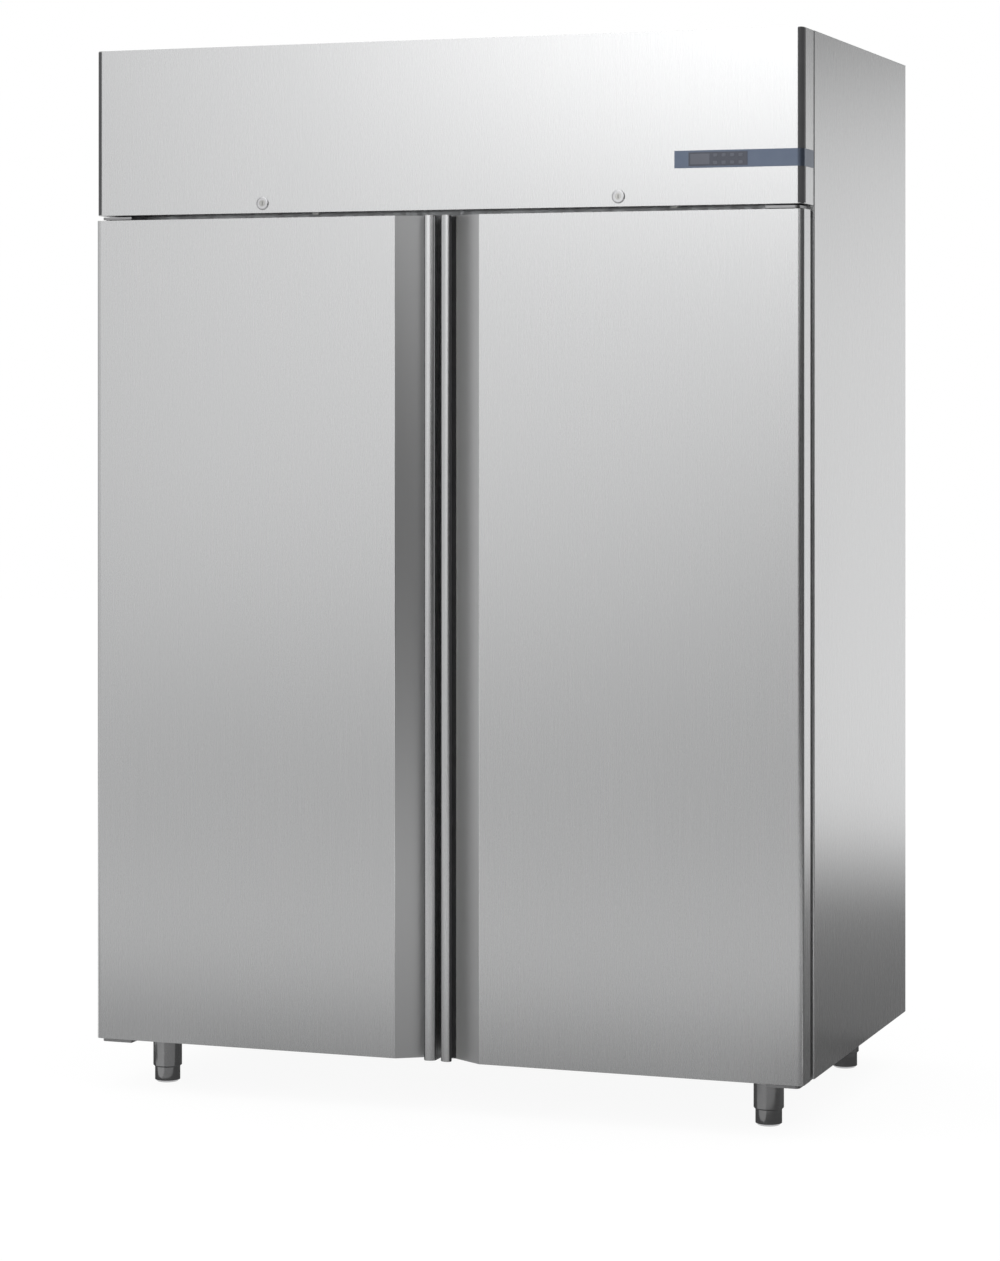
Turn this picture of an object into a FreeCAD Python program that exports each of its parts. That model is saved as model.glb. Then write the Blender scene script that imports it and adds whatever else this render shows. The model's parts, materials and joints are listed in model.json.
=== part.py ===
import FreeCAD, Part
import Sketcher
import math
import os

# Two-door upright refrigerator. X runs to the right, Y to the back and Z up; the origin is on
# the floor, under the middle of the cabinet. Lengths are millimetres.

Vector = FreeCAD.Vector
Rotation = FreeCAD.Rotation
Placement = FreeCAD.Placement

driving_sizes = {
    # cabinet
    "cabinet_width": 1460,
    "cabinet_height": 2080,
    "cabinet_depth": 850,
    "wall_insulation": 70,
    "steel_sheet": 1,
    "sheet_bend": 3,
    "foam_clearance": 0.4,
    "panel_front_flange": 25,
    "panel_rear_flange": 20,
    "frame_depth": 8,
    "frame_clearance": 0.3,
    "liner_corner": 25,
    "mullion_width": 100,
    "mullion_depth": 60,
    "mullion_edge": 4,
    "cover_flange": 30,
    "deck_flange": 50,
    "grille_recess": 28,
    "vent_slot_height": 8,
    "vent_slot_length": 400,
    "vent_slot_start": 90,
    "vent_slot_rows": 8,
    "vent_field_height": 210,
    "vent_field_lift": 70,
    "top_slot_rows": 7,
    "top_field_depth": 260,
    "top_field_rear_gap": 60,
    # doors
    "door_thickness": 66,
    "door_gap": 10,
    "door_seam": 11,
    "door_return": 54,
    "door_edge_radius": 11.5,
    "lip_edge_radius": 7.5,
    "grip_width": 81.5,
    "grip_depth": 38,
    "grip_floor": 20.5,
    "grip_wall": 7.5,
    "lip_width": 18.5,
    "lip_thickness": 10,
    "lip_rounding": 2,
    "door_rear_rim": 14,
    "door_liner_inset": 10,
    "door_liner_sheet": 1.5,
    "door_field_border": 60,
    "door_field_rise": 10,
    "door_field_corner": 20,
    "gasket_depth": 18,
    "gasket_inset": 24,
    "gasket_width": 14,
    "gasket_neck_width": 6,
    "gasket_base": 5,
    "gasket_neck": 4,
    "gasket_clearance": 0.3,
    # door hinges
    "pivot_inset": 20,
    "pivot_setback": 22,
    "hinge_clearance": 2,
    "hinge_plate": 5,
    "hinge_arm": 65,
    "hinge_edge_inset": 10,
    "hinge_front_inset": 8,
    "hinge_corner": 9,
    "hinge_upright": 44,
    "hinge_base_overlap": 22,
    "pin_diameter": 12,
    "pin_fit": 0.05,
    "pin_clearance": 0.05,
    "pin_reach": 26,
    "bush_width": 20,
    "bush_floor": 2,
    "bush_fit": 0.1,
    # legs
    "leg_height": 100,
    "leg_diameter": 58,
    "leg_cap": 3,
    "leg_chamfer": 2.5,
    "leg_side_inset": 100,
    "leg_front_inset": 125,
    "foot_diameter": 51,
    "foot_exposed": 40,
    "foot_chamfer": 4,
    "foot_clearance": 0.3,
    # header
    "header_height": 330,
    "header_setback": 3,
    "header_side_inset": 1,
    "header_radius": 12,
    "header_rear_gap": 4,
    "header_floor_gap": 3,
    "header_pivot_inset": 6,
    "header_pin_diameter": 6,
    "header_ear": 3,
    "header_ear_gap": 3,
    "header_arm": 6,
    "header_arm_half_width": 4,
    "header_arm_foot": 44,
    "header_arm_fall": 24,
    "header_arm_gap": 1,
    "header_arm_cut": 2.4,
    "strip_height": 33,
    "strip_lift": 70,
    "strip_length": 250,
    "strip_thickness": 0.8,
    "strip_clearance": 0.1,
    "window_start": 28,
    "window_length": 115,
    "window_border": 3.5,
    "window_thickness": 0.8,
    "controller_length": 150,
    "controller_height": 80,
    "controller_depth": 48,
    "controller_corner": 6,
    "controller_cover": 9,
    "controller_cover_inset": 7,
    "connectors": 5,
    "connector_width": 15,
    "connector_height": 9,
    "connector_depth": 6,
    "connector_lift": 6,
    "contact_offset": 103,
    "contact_length": 16,
    "contact_width": 8,
    "contact_drop": 4,
    "contact_slope": 2.5,
    "contact_setback": 25,
    # locks
    "lock_lift": 19,
    "lock_diameter": 21,
    "lock_projection": 2,
    "lock_barrel_length": 24,
    "lock_fit": 0.1,
    "plug_diameter": 13,
    "plug_clearance": 0.05,
    "plug_recess": 0.3,
    "keyway_width": 1.6,
    "keyway_height": 8,
    "keyway_depth": 3,
    "cam_reach": 38,
    "cam_width": 14,
    "cam_corner": 6.5,
    "cam_gap": 0.5,
    "cam_thickness": 3,
    "cam_clearance": 2,
    "keeper_depth": 14,
    # shelves
    "upright_width": 25,
    "upright_depth": 32,
    "upright_sheet": 1.5,
    "upright_height": 1280,
    "upright_setback": 20,
    "upright_slots": 8,
    "upright_slot_pitch": 160,
    "upright_slot_width": 5,
    "upright_slot_height": 14,
    "upright_slot_lift": 60,
    "runner_ledge": 24,
    "runner_height": 16,
    "runner_sheet": 1.5,
    "shelf_clearance": 3,
    "shelf_bar": 8,
    "shelf_wires": 13,
    "shelf_wire": 4,
    "shelf_rear_gap": 8,
    "shelf_levels": 3,
    "shelf_first_level": 250,
    "shelf_spacing": 350,
    "lamp_length": 420,
    "lamp_depth": 22,
    "lamp_height": 14,
    "lamp_slope": 5,
    "lamp_rounding": 4,
    "lamp_cap": 12,
    "lamp_cap_edge": 1,
    "lamp_setback": 16,
    # evaporator
    "evaporator_width": 860,
    "evaporator_depth": 390,
    "evaporator_height": 180,
    "tray_fall": 16,
    "evaporator_rear_gap": 20,
    "evaporator_coil_margin": 30,
    "evaporator_coil_setback": 130,
    "evaporator_coil_height": 120,
    "evaporator_fan_spacing": 430,
    "evaporator_fan_diameter": 138,
    # condensing unit
    "condenser_width": 360,
    "condenser_height": 260,
    "condenser_depth": 60,
    "condenser_setback": 90,
    "condenser_place": 380,
    "condenser_fan_diameter": 186,
    "shroud_depth": 74,
    "fin_pitch": 20,
    "fin_slot": 12,
    "fin_slot_depth": 12,
    "compressor_diameter": 170,
    "compressor_height": 190,
    "compressor_chamfer": 18,
    "compressor_dome": 55,
    "compressor_place": 130,
    "compressor_foot": 26,
    "compressor_foot_height": 18,
    "compressor_plate": 4,
    "compressor_plate_width": 230,
    "compressor_plate_depth": 190,
    "pipe_diameter": 10,
    "pipe_bend": 30,
    "pipe_hole": 26,
    "liquid_line_place": -20,
    "pipe_place": 120,
    "pipe_level": 130,
    "drier_diameter": 26,
    "drier_length": 110,
    "drier_taper": 15,
    "drier_gap": 20,
    "drier_lift": 40,
    "electrical_width": 220,
    "electrical_depth": 150,
    "electrical_height": 130,
    "electrical_side_gap": 30,
    "electrical_setback": 60,
    "electrical_corner": 8,
    "electrical_lid": 28,
    "electrical_seam": 2,
    "cable_entry_diameter": 22,
    "cable_entry_reach": 12,
    "cable_entry_lift": 30,
    "gland_hex": 24,
    "gland_hex_length": 8,
    "gland_shank_diameter": 16,
    "gland_shank": 14,
    "gland_cap_diameter": 20,
    "gland_nose_diameter": 15,
    "gland_cap": 14,
    "gland_bore": 9,
    "gland_fit": 0.2,
    "gland_side_inset": 110,
    "gland_lift": 60,
    # fans, alike but for their diameter
    "fan_tip_clearance": 6,
    "fan_hub_diameter": 44,
    "fan_hub_length": 22,
    "fan_blades": 5,
    "fan_blade_sheet": 2,
    "fan_root_chord": 26,
    "fan_root_bite": 4,
    "fan_tip_chord": 58,
    "fan_root_angle": 48,
    "fan_tip_angle": 22,
    "motor_diameter": 66,
    "motor_length": 40,
    "motor_chamfer": 3,
    "motor_shoulder": 9,
    "motor_boss_diameter": 30,
    "fan_gap": 0.3,
    "guard_bar": 4,
    "guard_overlap": 6,
    "guard_clearance": 0.3,
}

doc = FreeCAD.newDocument("two_door_refrigerator")
sheet = doc.addObject("Spreadsheet::Sheet", "sizes")
for row, (alias, number) in enumerate(driving_sizes.items(), start=1):
    sheet.set(f"A{row}", alias)
    sheet.set(f"B{row}", str(number))
    sheet.setAlias(f"B{row}", alias)
doc.recompute()


class Size:
    # A number together with the sheet expression that it comes from

    def __init__(self, text, value):
        self.text = text
        self.value = value

    def __add__(self, other):
        other = as_size(other)
        return Size(f"({self.text} + {other.text})", self.value + other.value)

    def __sub__(self, other):
        other = as_size(other)
        return Size(f"({self.text} - {other.text})", self.value - other.value)

    def __mul__(self, other):
        other = as_size(other)
        return Size(f"({self.text} * {other.text})", self.value * other.value)

    def __truediv__(self, other):
        other = as_size(other)
        return Size(f"({self.text} / {other.text})", self.value / other.value)

    def __rmul__(self, other):
        return as_size(other) * self

    def __neg__(self):
        return Size(f"(0 - {self.text})", -self.value)


class Sizes:
    # The sheet's cells by their alias

    def __getattr__(self, alias):
        return Size(f"sizes.{alias}", float(sheet.get(alias)))


def as_size(number):
    if isinstance(number, Size):
        return number
    return Size(f"({number})", float(number))


s = Sizes()
sub_parts = []


def bind(thing, path, size):
    thing.setExpression(path, as_size(size).text)


def place(thing, x, y, z):
    for axis, size in zip("xyz", (x, y, z)):
        bind(thing, f"Placement.Base.{axis}", size)


def sub_part(label, thing):
    thing.Label = label
    sub_parts.append(thing)
    return thing


# Sketch outlines


def fix_point(sketch, geometry, position, x, y):
    for kind, size in (("DistanceX", x), ("DistanceY", y)):
        size = as_size(size)
        index = sketch.addConstraint(
            Sketcher.Constraint(kind, -1, 1, geometry, position, size.value))
        bind(sketch, f"Constraints[{index}]", size)


def unit(start, end):
    step = end - start
    return step / step.Length


def corner_cut(points, index, radius):
    # Tangent points and middle of the arc that rounds one corner
    corner = points[index]
    towards_last = unit(corner, points[index - 1])
    towards_next = unit(corner, points[(index + 1) % len(points)])
    half_angle = towards_last.getAngle(towards_next) / 2
    tangent = radius / math.tan(half_angle)
    bisector = (towards_last + towards_next).normalize()
    middle = corner + bisector * (radius / math.sin(half_angle) - radius)
    return corner + towards_last * tangent, middle, corner + towards_next * tangent


def outline(sketch, corners):
    # Closed outline through the corners (x, y); a third value rounds that corner
    points = [Vector(as_size(c[0]).value, as_size(c[1]).value, 0) for c in corners]
    starts = list(points)
    ends = list(points)
    arcs = {}
    for index, corner in enumerate(corners):
        if len(corner) == 3:
            radius = as_size(corner[2]).value
            ends[index], middle, starts[index] = corner_cut(points, index, radius)
            arcs[index] = middle
    lines = []
    for index in range(len(points)):
        following = (index + 1) % len(points)
        segment = Part.LineSegment(starts[index], ends[following])
        lines.append(sketch.addGeometry(segment, False))
    for index, corner in enumerate(corners):
        arriving = lines[index - 1]
        leaving = lines[index]
        if index not in arcs:
            sketch.addConstraint(Sketcher.Constraint("Coincident", arriving, 2, leaving, 1))
            fix_point(sketch, leaving, 1, corner[0], corner[1])
            continue
        arc = sketch.addGeometry(Part.Arc(ends[index], arcs[index], starts[index]), False)
        forward = sketch.getPoint(arc, 1).isEqual(ends[index], 1e-6)
        first, last = (1, 2) if forward else (2, 1)
        mark = sketch.addGeometry(Part.Point(points[index]), True)
        sketch.addConstraint(Sketcher.Constraint("Tangent", arriving, 2, arc, first))
        sketch.addConstraint(Sketcher.Constraint("Tangent", arc, last, leaving, 1))
        sketch.addConstraint(Sketcher.Constraint("PointOnObject", mark, 1, arriving))
        sketch.addConstraint(Sketcher.Constraint("PointOnObject", mark, 1, leaving))
        fix_point(sketch, mark, 1, corner[0], corner[1])
        rounding = as_size(corner[2])
        index = sketch.addConstraint(Sketcher.Constraint("Radius", arc, rounding.value))
        bind(sketch, f"Constraints[{index}]", rounding)


def rectangle(x, y, radius=None):
    corners = [(x[0], y[0]), (x[1], y[0]), (x[1], y[1]), (x[0], y[1])]
    if radius is None:
        return corners
    return [(across, along, radius) for across, along in corners]


def circle(sketch, diameter, x=0, y=0):
    centre = Vector(as_size(x).value, as_size(y).value, 0)
    radius = as_size(diameter).value / 2
    ring = sketch.addGeometry(Part.Circle(centre, Vector(0, 0, 1), radius), False)
    index = sketch.addConstraint(Sketcher.Constraint("Diameter", ring, 2 * radius))
    bind(sketch, f"Constraints[{index}]", diameter)
    fix_point(sketch, ring, 3, x, y)


# Bodies and their features


def new_body(name):
    return doc.addObject("PartDesign::Body", name)


def origin_feature(body, role):
    return next(f for f in body.Origin.OriginFeatures if f.Role == role)


def sketch_on(body, plane, offset=0):
    sketch = body.newObject("Sketcher::SketchObject", body.Name + "_sketch")
    sketch.AttachmentSupport = [(origin_feature(body, plane), "")]
    sketch.MapMode = "FlatFace"
    bind(sketch, "AttachmentOffset.Base.z", offset)
    return sketch


def pad(body, sketch, length):
    feature = body.newObject("PartDesign::Pad", body.Name + "_pad")
    feature.Profile = sketch
    bind(feature, "Length", length)
    return feature


def pocket(body, sketch, length, reverse=False):
    feature = body.newObject("PartDesign::Pocket", body.Name + "_pocket")
    feature.Profile = sketch
    feature.Reversed = reverse
    bind(feature, "Length", length)
    return feature


def repeat(body, feature, axis, length, count):
    # Row of copies of one feature, evenly spread over the length
    pattern = body.newObject("PartDesign::LinearPattern", body.Name + "_row")
    pattern.Originals = [feature]
    pattern.Direction = (origin_feature(body, axis), [""])
    bind(pattern, "Length", length)
    bind(pattern, "Occurrences", count)
    body.Tip = pattern
    return pattern


def prism_sketch(body, axis, corners, low, high):
    # The sketch lies so that a pad along its normal runs between low and high on the axis
    plane, offset = {"x": ("YZ_Plane", low), "y": ("XZ_Plane", -high), "z": ("XY_Plane", low)}[axis]
    sketch = sketch_on(body, plane, offset)
    outline(sketch, corners)
    return sketch


def prism(name, axis, corners, low, high):
    # Outline pulled along an axis; its coordinates are the other two axes in their own order
    low, high = as_size(low), as_size(high)
    body = new_body(name)
    pad(body, prism_sketch(body, axis, corners, low, high), high - low)
    return body


def revolved(name, corners):
    # Outline of radius and height turned about the body's Z axis
    body = new_body(name)
    sketch = sketch_on(body, "XZ_Plane")
    outline(sketch, corners)
    turn = body.newObject("PartDesign::Revolution", name + "_turn")
    turn.Profile = sketch
    turn.ReferenceAxis = (origin_feature(body, "Z_Axis"), [""])
    turn.Angle = 360
    return body


# Primitives and booleans


def block(name, x, y, z):
    box = doc.addObject("Part::Box", name)
    for side, axis, (low, high) in zip(("Length", "Width", "Height"), "xyz", (x, y, z)):
        low, high = as_size(low), as_size(high)
        bind(box, side, high - low)
        bind(box, f"Placement.Base.{axis}", low)
    return box


axis_turns = {
    "x": Rotation(Vector(0, 1, 0), 90),
    "y": Rotation(Vector(1, 0, 0), -90),
    "z": Rotation(),
}


def rod(name, diameter, start, length, along="z"):
    cylinder = doc.addObject("Part::Cylinder", name)
    bind(cylinder, "Radius", diameter / 2)
    bind(cylinder, "Height", length)
    cylinder.Placement = Placement(Vector(), axis_turns[along])
    place(cylinder, *start)
    return cylinder


def fuse(name, *things):
    joined = doc.addObject("Part::MultiFuse", name)
    joined.Shapes = list(things)
    return joined


def cut(name, base, *tools):
    result = doc.addObject("Part::Cut", name)
    result.Base = base
    result.Tool = tools[0] if len(tools) == 1 else fuse(name + "_tools", *tools)
    return result


def mirrored(name, source, axis="x", at=0):
    # Mirror image across the plane square to the axis
    image = doc.addObject("Part::Mirroring", name)
    image.Source = source
    image.Normal = Vector(*(1 if axis == letter else 0 for letter in "xyz"))
    bind(image, f"Base.{axis}", at)
    return image


def group(name, *things):
    together = doc.addObject("Part::Compound", name)
    together.Links = list(things)
    return together


def copy_at(name, source, x=0, y=0, z=0):
    link = doc.addObject("App::Link", name)
    link.LinkedObject = source
    link.LinkTransform = True
    place(link, x, y, z)
    return link


def both_sides(label, right):
    # A right-hand piece and its mirror image, in one node
    return sub_part(label, group(label, right, mirrored(label + "_left", right)))


def pair(stem, right):
    # A right-hand piece and its mirror image, each a node of its own
    sub_part("right_" + stem, right)
    return sub_part("left_" + stem, mirrored("left_" + stem, right))


# Planes that the pieces share

sheet_metal = s.steel_sheet
half = s.cabinet_width / 2
front = -(s.cabinet_depth / 2)
back = s.cabinet_depth / 2
top = s.cabinet_height
base = s.leg_height
body_front = front + s.door_thickness + s.gasket_depth
header_bottom = top - s.header_height
door_top = header_bottom - s.door_gap
door_bottom = base + s.hinge_clearance
deck_level = door_top + s.hinge_clearance
deck_top = deck_level + sheet_metal
cover_level = top - sheet_metal
room_half = half - s.wall_insulation
room_floor = base + s.wall_insulation
room_ceiling = deck_level - s.wall_insulation
room_front = body_front + s.frame_depth
room_back = back - s.wall_insulation
rear_sheet_back = back - sheet_metal
rear_sheet_front = rear_sheet_back - sheet_metal
rear_sheet_half = half - sheet_metal - s.sheet_bend
flange_edge = half - s.panel_front_flange
meeting_edge = s.door_seam / 2
door_middle = (meeting_edge + half) / 2
mullion_half = s.mullion_width / 2
pivot_x = half - s.pivot_inset
pivot_y = front + s.pivot_setback
header_half = half - s.header_side_inset
header_front = front + s.header_setback
header_rear = body_front - s.header_rear_gap
header_pivot_y = header_rear - s.header_pivot_inset
header_pivot_z = top - s.header_pivot_inset
ear_inner = header_half - sheet_metal - s.header_ear_gap - s.header_ear
lock_z = header_bottom + s.lock_lift
cam_front = header_front + s.lock_barrel_length + s.cam_gap
grille_back = rear_sheet_back - s.grille_recess
grille_front = grille_back - sheet_metal
gland_x = half - s.gland_side_inset
gland_z = deck_top + s.gland_lift
liquid_x = s.liquid_line_place
suction_x = s.compressor_place
pipe_y = s.pipe_place


def room_outline(margin):
    return rectangle((-(room_half + margin), room_half + margin),
                     (room_floor - margin, room_ceiling + margin), s.liner_corner + margin)


def pipe_passage(name):
    # Holes for the two refrigerant pipes, through the deck, the foam and the liner
    low = room_ceiling - s.liner_corner
    reach = s.pipe_hole / 2
    holes = [block(f"{name}_{index}", (x - reach, x + reach), (pipe_y - reach, pipe_y + reach),
                   (low, deck_top + s.liner_corner))
             for index, x in enumerate((liquid_x, suction_x), start=1)]
    return fuse(name, *holes)


def cabinet_shell():
    inner_bend = s.sheet_bend - sheet_metal
    side = prism("right_side_panel", "z", [
        (half, body_front, s.sheet_bend),
        (half, back, s.sheet_bend),
        (half - s.panel_rear_flange, back),
        (half - s.panel_rear_flange, back - sheet_metal),
        (half - sheet_metal, back - sheet_metal, inner_bend),
        (half - sheet_metal, body_front + sheet_metal, inner_bend),
        (flange_edge, body_front + sheet_metal),
        (flange_edge, body_front),
    ], base, cover_level)
    pair("side_panel", side)

    sub_part("back_panel", block("back_panel", (-rear_sheet_half, rear_sheet_half),
                                 (rear_sheet_front, rear_sheet_back),
                                 (base + sheet_metal, deck_level)))
    sub_part("base_panel", block("base_panel", (-rear_sheet_half, rear_sheet_half),
                                 (body_front + sheet_metal, rear_sheet_back),
                                 (base, base + sheet_metal)))

    foam_half = half - sheet_metal - s.foam_clearance
    foam_block = block("foam_block", (-foam_half, foam_half),
                       (room_front, rear_sheet_front - s.foam_clearance),
                       (base + sheet_metal + s.foam_clearance, deck_level - s.foam_clearance))
    liner_margin = sheet_metal + s.foam_clearance
    foam_room = prism("foam_room", "y", room_outline(liner_margin),
                      room_front - s.frame_depth, room_back + liner_margin)
    sub_part("insulation_foam", cut("insulation_foam", foam_block, foam_room,
                                    pipe_passage("foam_passage")))

    liner_outside = prism("liner_outside", "y", room_outline(sheet_metal),
                          room_front, room_back + sheet_metal)
    liner_inside = prism("liner_inside", "y", room_outline(as_size(0)),
                         room_front - s.frame_depth, room_back)
    sub_part("inner_liner", cut("inner_liner", liner_outside, liner_inside,
                                pipe_passage("liner_passage")))

    frame_half = flange_edge - s.frame_clearance
    frame_plate = block("frame_plate", (-frame_half, frame_half), (body_front, room_front),
                        (base + sheet_metal, deck_level))
    frame_opening = prism("frame_opening", "y", room_outline(as_size(0)),
                          body_front - s.frame_depth, room_front + s.frame_depth)
    sub_part("front_frame", cut("front_frame", frame_plate, frame_opening))

    sub_part("centre_mullion", prism("centre_mullion", "z", rectangle(
        (-mullion_half, mullion_half), (body_front, body_front + s.mullion_depth),
        s.mullion_edge), room_floor, room_ceiling))


def slot_pair(low, high):
    # The same slot left and right of the middle
    start = s.vent_slot_start
    end = s.vent_slot_start + s.vent_slot_length
    return rectangle((start, end), (low, high)), rectangle((-end, -start), (low, high))


def vent_rows(body, axis, slots, low, high, row_axis, spread, rows):
    sketch = prism_sketch(body, axis, slots[0], low, high)
    outline(sketch, slots[1])
    vent = pocket(body, sketch, high - low, reverse=True)
    repeat(body, vent, row_axis, spread, rows)


def top_cover():
    cover = prism("top_cover", "z", rectangle((-half, half), (body_front, back)),
                  cover_level, top)
    flange_half = flange_edge - s.frame_clearance
    flange = prism_sketch(cover, "z", rectangle(
        (-flange_half, flange_half), (body_front, body_front + sheet_metal)),
        cover_level - s.cover_flange, cover_level)
    pad(cover, flange, s.cover_flange)
    first = rear_sheet_front - s.top_field_rear_gap - s.top_field_depth
    vent_rows(cover, "z", slot_pair(first, first + s.vent_slot_height), cover_level, top,
              "Y_Axis", s.top_field_depth - s.vent_slot_height, s.top_slot_rows)
    sub_part("top_cover", cover)


def machine_deck():
    deck = prism("deck_sheet", "z", rectangle(
        (-rear_sheet_half, rear_sheet_half), (body_front + sheet_metal, rear_sheet_front)),
        deck_level, deck_top)
    flange_half = flange_edge - s.frame_clearance
    flange = prism_sketch(deck, "z", rectangle(
        (-flange_half, flange_half), (body_front, body_front + sheet_metal)),
        deck_level, deck_level + s.deck_flange)
    pad(deck, flange, s.deck_flange)
    sub_part("machine_deck", cut("machine_deck", deck, pipe_passage("deck_passage")))


def rear_grille():
    # The grille lies back from the rear edge, so that the gland doesn't stand out of the cabinet
    grille_half = half - sheet_metal - s.frame_clearance
    grille = prism("grille_sheet", "y", rectangle(
        (-grille_half, grille_half), (deck_top, cover_level)), grille_front, grille_back)
    first = deck_top + s.vent_field_lift
    vent_rows(grille, "y", slot_pair(first, first + s.vent_slot_height), grille_front, grille_back,
              "Z_Axis", s.vent_field_height - s.vent_slot_height, s.vent_slot_rows)
    hole = rod("gland_hole", s.gland_shank_diameter + 2 * s.gland_fit,
               (gland_x, grille_front - s.gland_shank, gland_z), 2 * s.gland_shank, "y")
    sub_part("rear_grille", cut("rear_grille", grille, hole))


def cable_gland():
    # Hexagon and cap behind the grille, shank through it, one bore from end to end
    hexagon = doc.addObject("Part::Prism", "gland_hexagon")
    hexagon.Polygon = 6
    bind(hexagon, "Circumradius", s.gland_hex / 2)
    bind(hexagon, "Height", s.gland_hex_length)
    cap = doc.addObject("Part::Cone", "gland_cap")
    bind(cap, "Radius1", s.gland_cap_diameter / 2)
    bind(cap, "Radius2", s.gland_nose_diameter / 2)
    bind(cap, "Height", s.gland_cap)
    for piece, start in ((hexagon, grille_back), (cap, grille_back + s.gland_hex_length)):
        piece.Placement = Placement(Vector(), axis_turns["y"])
        place(piece, gland_x, start, gland_z)
    shank_start = grille_back - s.gland_shank
    shank = rod("gland_shank", s.gland_shank_diameter, (gland_x, shank_start, gland_z),
                s.gland_shank, "y")
    length = s.gland_shank + s.gland_hex_length + s.gland_cap
    bore = rod("gland_bore_tool", s.gland_bore, (gland_x, shank_start - s.gland_shank, gland_z),
               length + 2 * s.gland_shank, "y")
    sub_part("cable_gland", cut("cable_gland", fuse("gland_solid", hexagon, shank, cap), bore))


def legs():
    leg_radius = s.leg_diameter / 2
    bore_radius = s.foot_diameter / 2 + s.foot_clearance
    cap_bottom = base - s.leg_cap
    sleeve = revolved("leg_sleeve", [
        (0, base),
        (leg_radius, base),
        (leg_radius, s.foot_exposed + s.leg_chamfer),
        (leg_radius - s.leg_chamfer, s.foot_exposed),
        (bore_radius, s.foot_exposed),
        (bore_radius, cap_bottom),
        (0, cap_bottom),
    ])
    foot_radius = s.foot_diameter / 2
    foot_top = cap_bottom - s.foot_clearance
    foot = revolved("front_right_foot", [
        (0, 0),
        (foot_radius - s.foot_chamfer, 0),
        (foot_radius, s.foot_chamfer),
        (foot_radius, foot_top),
        (0, foot_top),
    ])
    for piece in (sleeve, foot):
        place(piece, half - s.leg_side_inset, front + s.leg_front_inset, 0)
    right_sleeves = group("right_leg_sleeves", sleeve, mirrored("rear_leg_sleeve", sleeve, "y"))
    both_sides("leg_sleeves", right_sleeves)
    sub_part("front_right_foot", foot)
    sub_part("front_left_foot", mirrored("front_left_foot", foot))
    rear_foot = mirrored("rear_right_foot", foot, "y")
    sub_part("rear_right_foot", rear_foot)
    sub_part("rear_left_foot", mirrored("rear_left_foot", rear_foot))


def door_hinges():
    arm_outer = half - s.hinge_edge_inset
    arm_inner = arm_outer - s.hinge_arm
    arm_front = front + s.hinge_front_inset

    def arm(name, rear, low):
        plate = prism(name + "_plate", "z", [
            (arm_inner, arm_front),
            (arm_outer, arm_front, s.hinge_corner),
            (arm_outer, rear),
            (arm_inner, rear),
        ], low, low + s.hinge_plate)
        hole = rod(name + "_hole", s.pin_diameter + 2 * s.pin_fit,
                   (pivot_x, pivot_y, low - s.hinge_plate), 3 * s.hinge_plate)
        return cut(name, plate, hole)

    bottom_low = base - s.hinge_plate
    both_sides("bottom_hinge_brackets",
               arm("bottom_arm", body_front + s.hinge_base_overlap, bottom_low))
    upright = block("top_upright", (arm_inner, arm_outer), (body_front - s.hinge_plate, body_front),
                    (deck_level, deck_level + s.hinge_upright))
    both_sides("top_hinge_brackets",
               fuse("top_bracket", arm("top_arm", body_front, deck_level), upright))

    bottom_pin = rod("bottom_pin", s.pin_diameter, (pivot_x, pivot_y, bottom_low),
                     door_bottom + s.pin_reach - bottom_low)
    top_pin = rod("top_pin", s.pin_diameter, (pivot_x, pivot_y, door_top - s.pin_reach),
                  deck_level + s.hinge_plate - door_top + s.pin_reach)
    both_sides("hinge_pins", group("right_hinge_pins", bottom_pin, top_pin))


def hypotenuse_leg(longest, other):
    # Third side of a right triangle
    return Size(f"sqrt({longest.text} ^ 2 - {other.text} ^ 2)",
                math.sqrt(longest.value ** 2 - other.value ** 2))


def cam_slot(name, drop, low, high):
    # Room for the lock's cam where it swings down past a level that lies drop below its axis
    side = s.cam_width / 2 + s.cam_clearance
    reach = hypotenuse_leg(s.cam_reach, drop) + s.cam_clearance
    return block(name, (door_middle - side, door_middle + reach),
                 (cam_front - s.cam_clearance, cam_front + s.cam_thickness + s.cam_clearance),
                 (low, high))


def hinge_blocks(name, margin, overshoot):
    # Square blocks round the hinge axis at the bottom and the top of the door
    side = s.bush_width / 2 + margin
    length = s.pin_reach + s.bush_floor + margin
    x = (pivot_x - side, pivot_x + side)
    y = (pivot_y - side, pivot_y + side)
    return (block(name + "_low", x, y, (door_bottom - overshoot, door_bottom + length)),
            block(name + "_high", x, y, (door_top - length, door_top + overshoot)))


def extruded_sketch(name, face, low, high):
    solid = doc.addObject("Part::Extrusion", name)
    solid.Base = face
    solid.DirMode = "Custom"
    solid.Dir = Vector(0, 0, 1)
    solid.Solid = True
    bind(solid, "LengthFwd", high - low)
    bind(solid, "Placement.Base.z", low)
    return solid


def inset_outline(name, sketch, inset):
    face = doc.addObject("Part::Offset2D", name)
    face.Source = sketch
    face.Join = "Intersection"
    bind(face, "Value", -inset)
    return face


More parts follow.
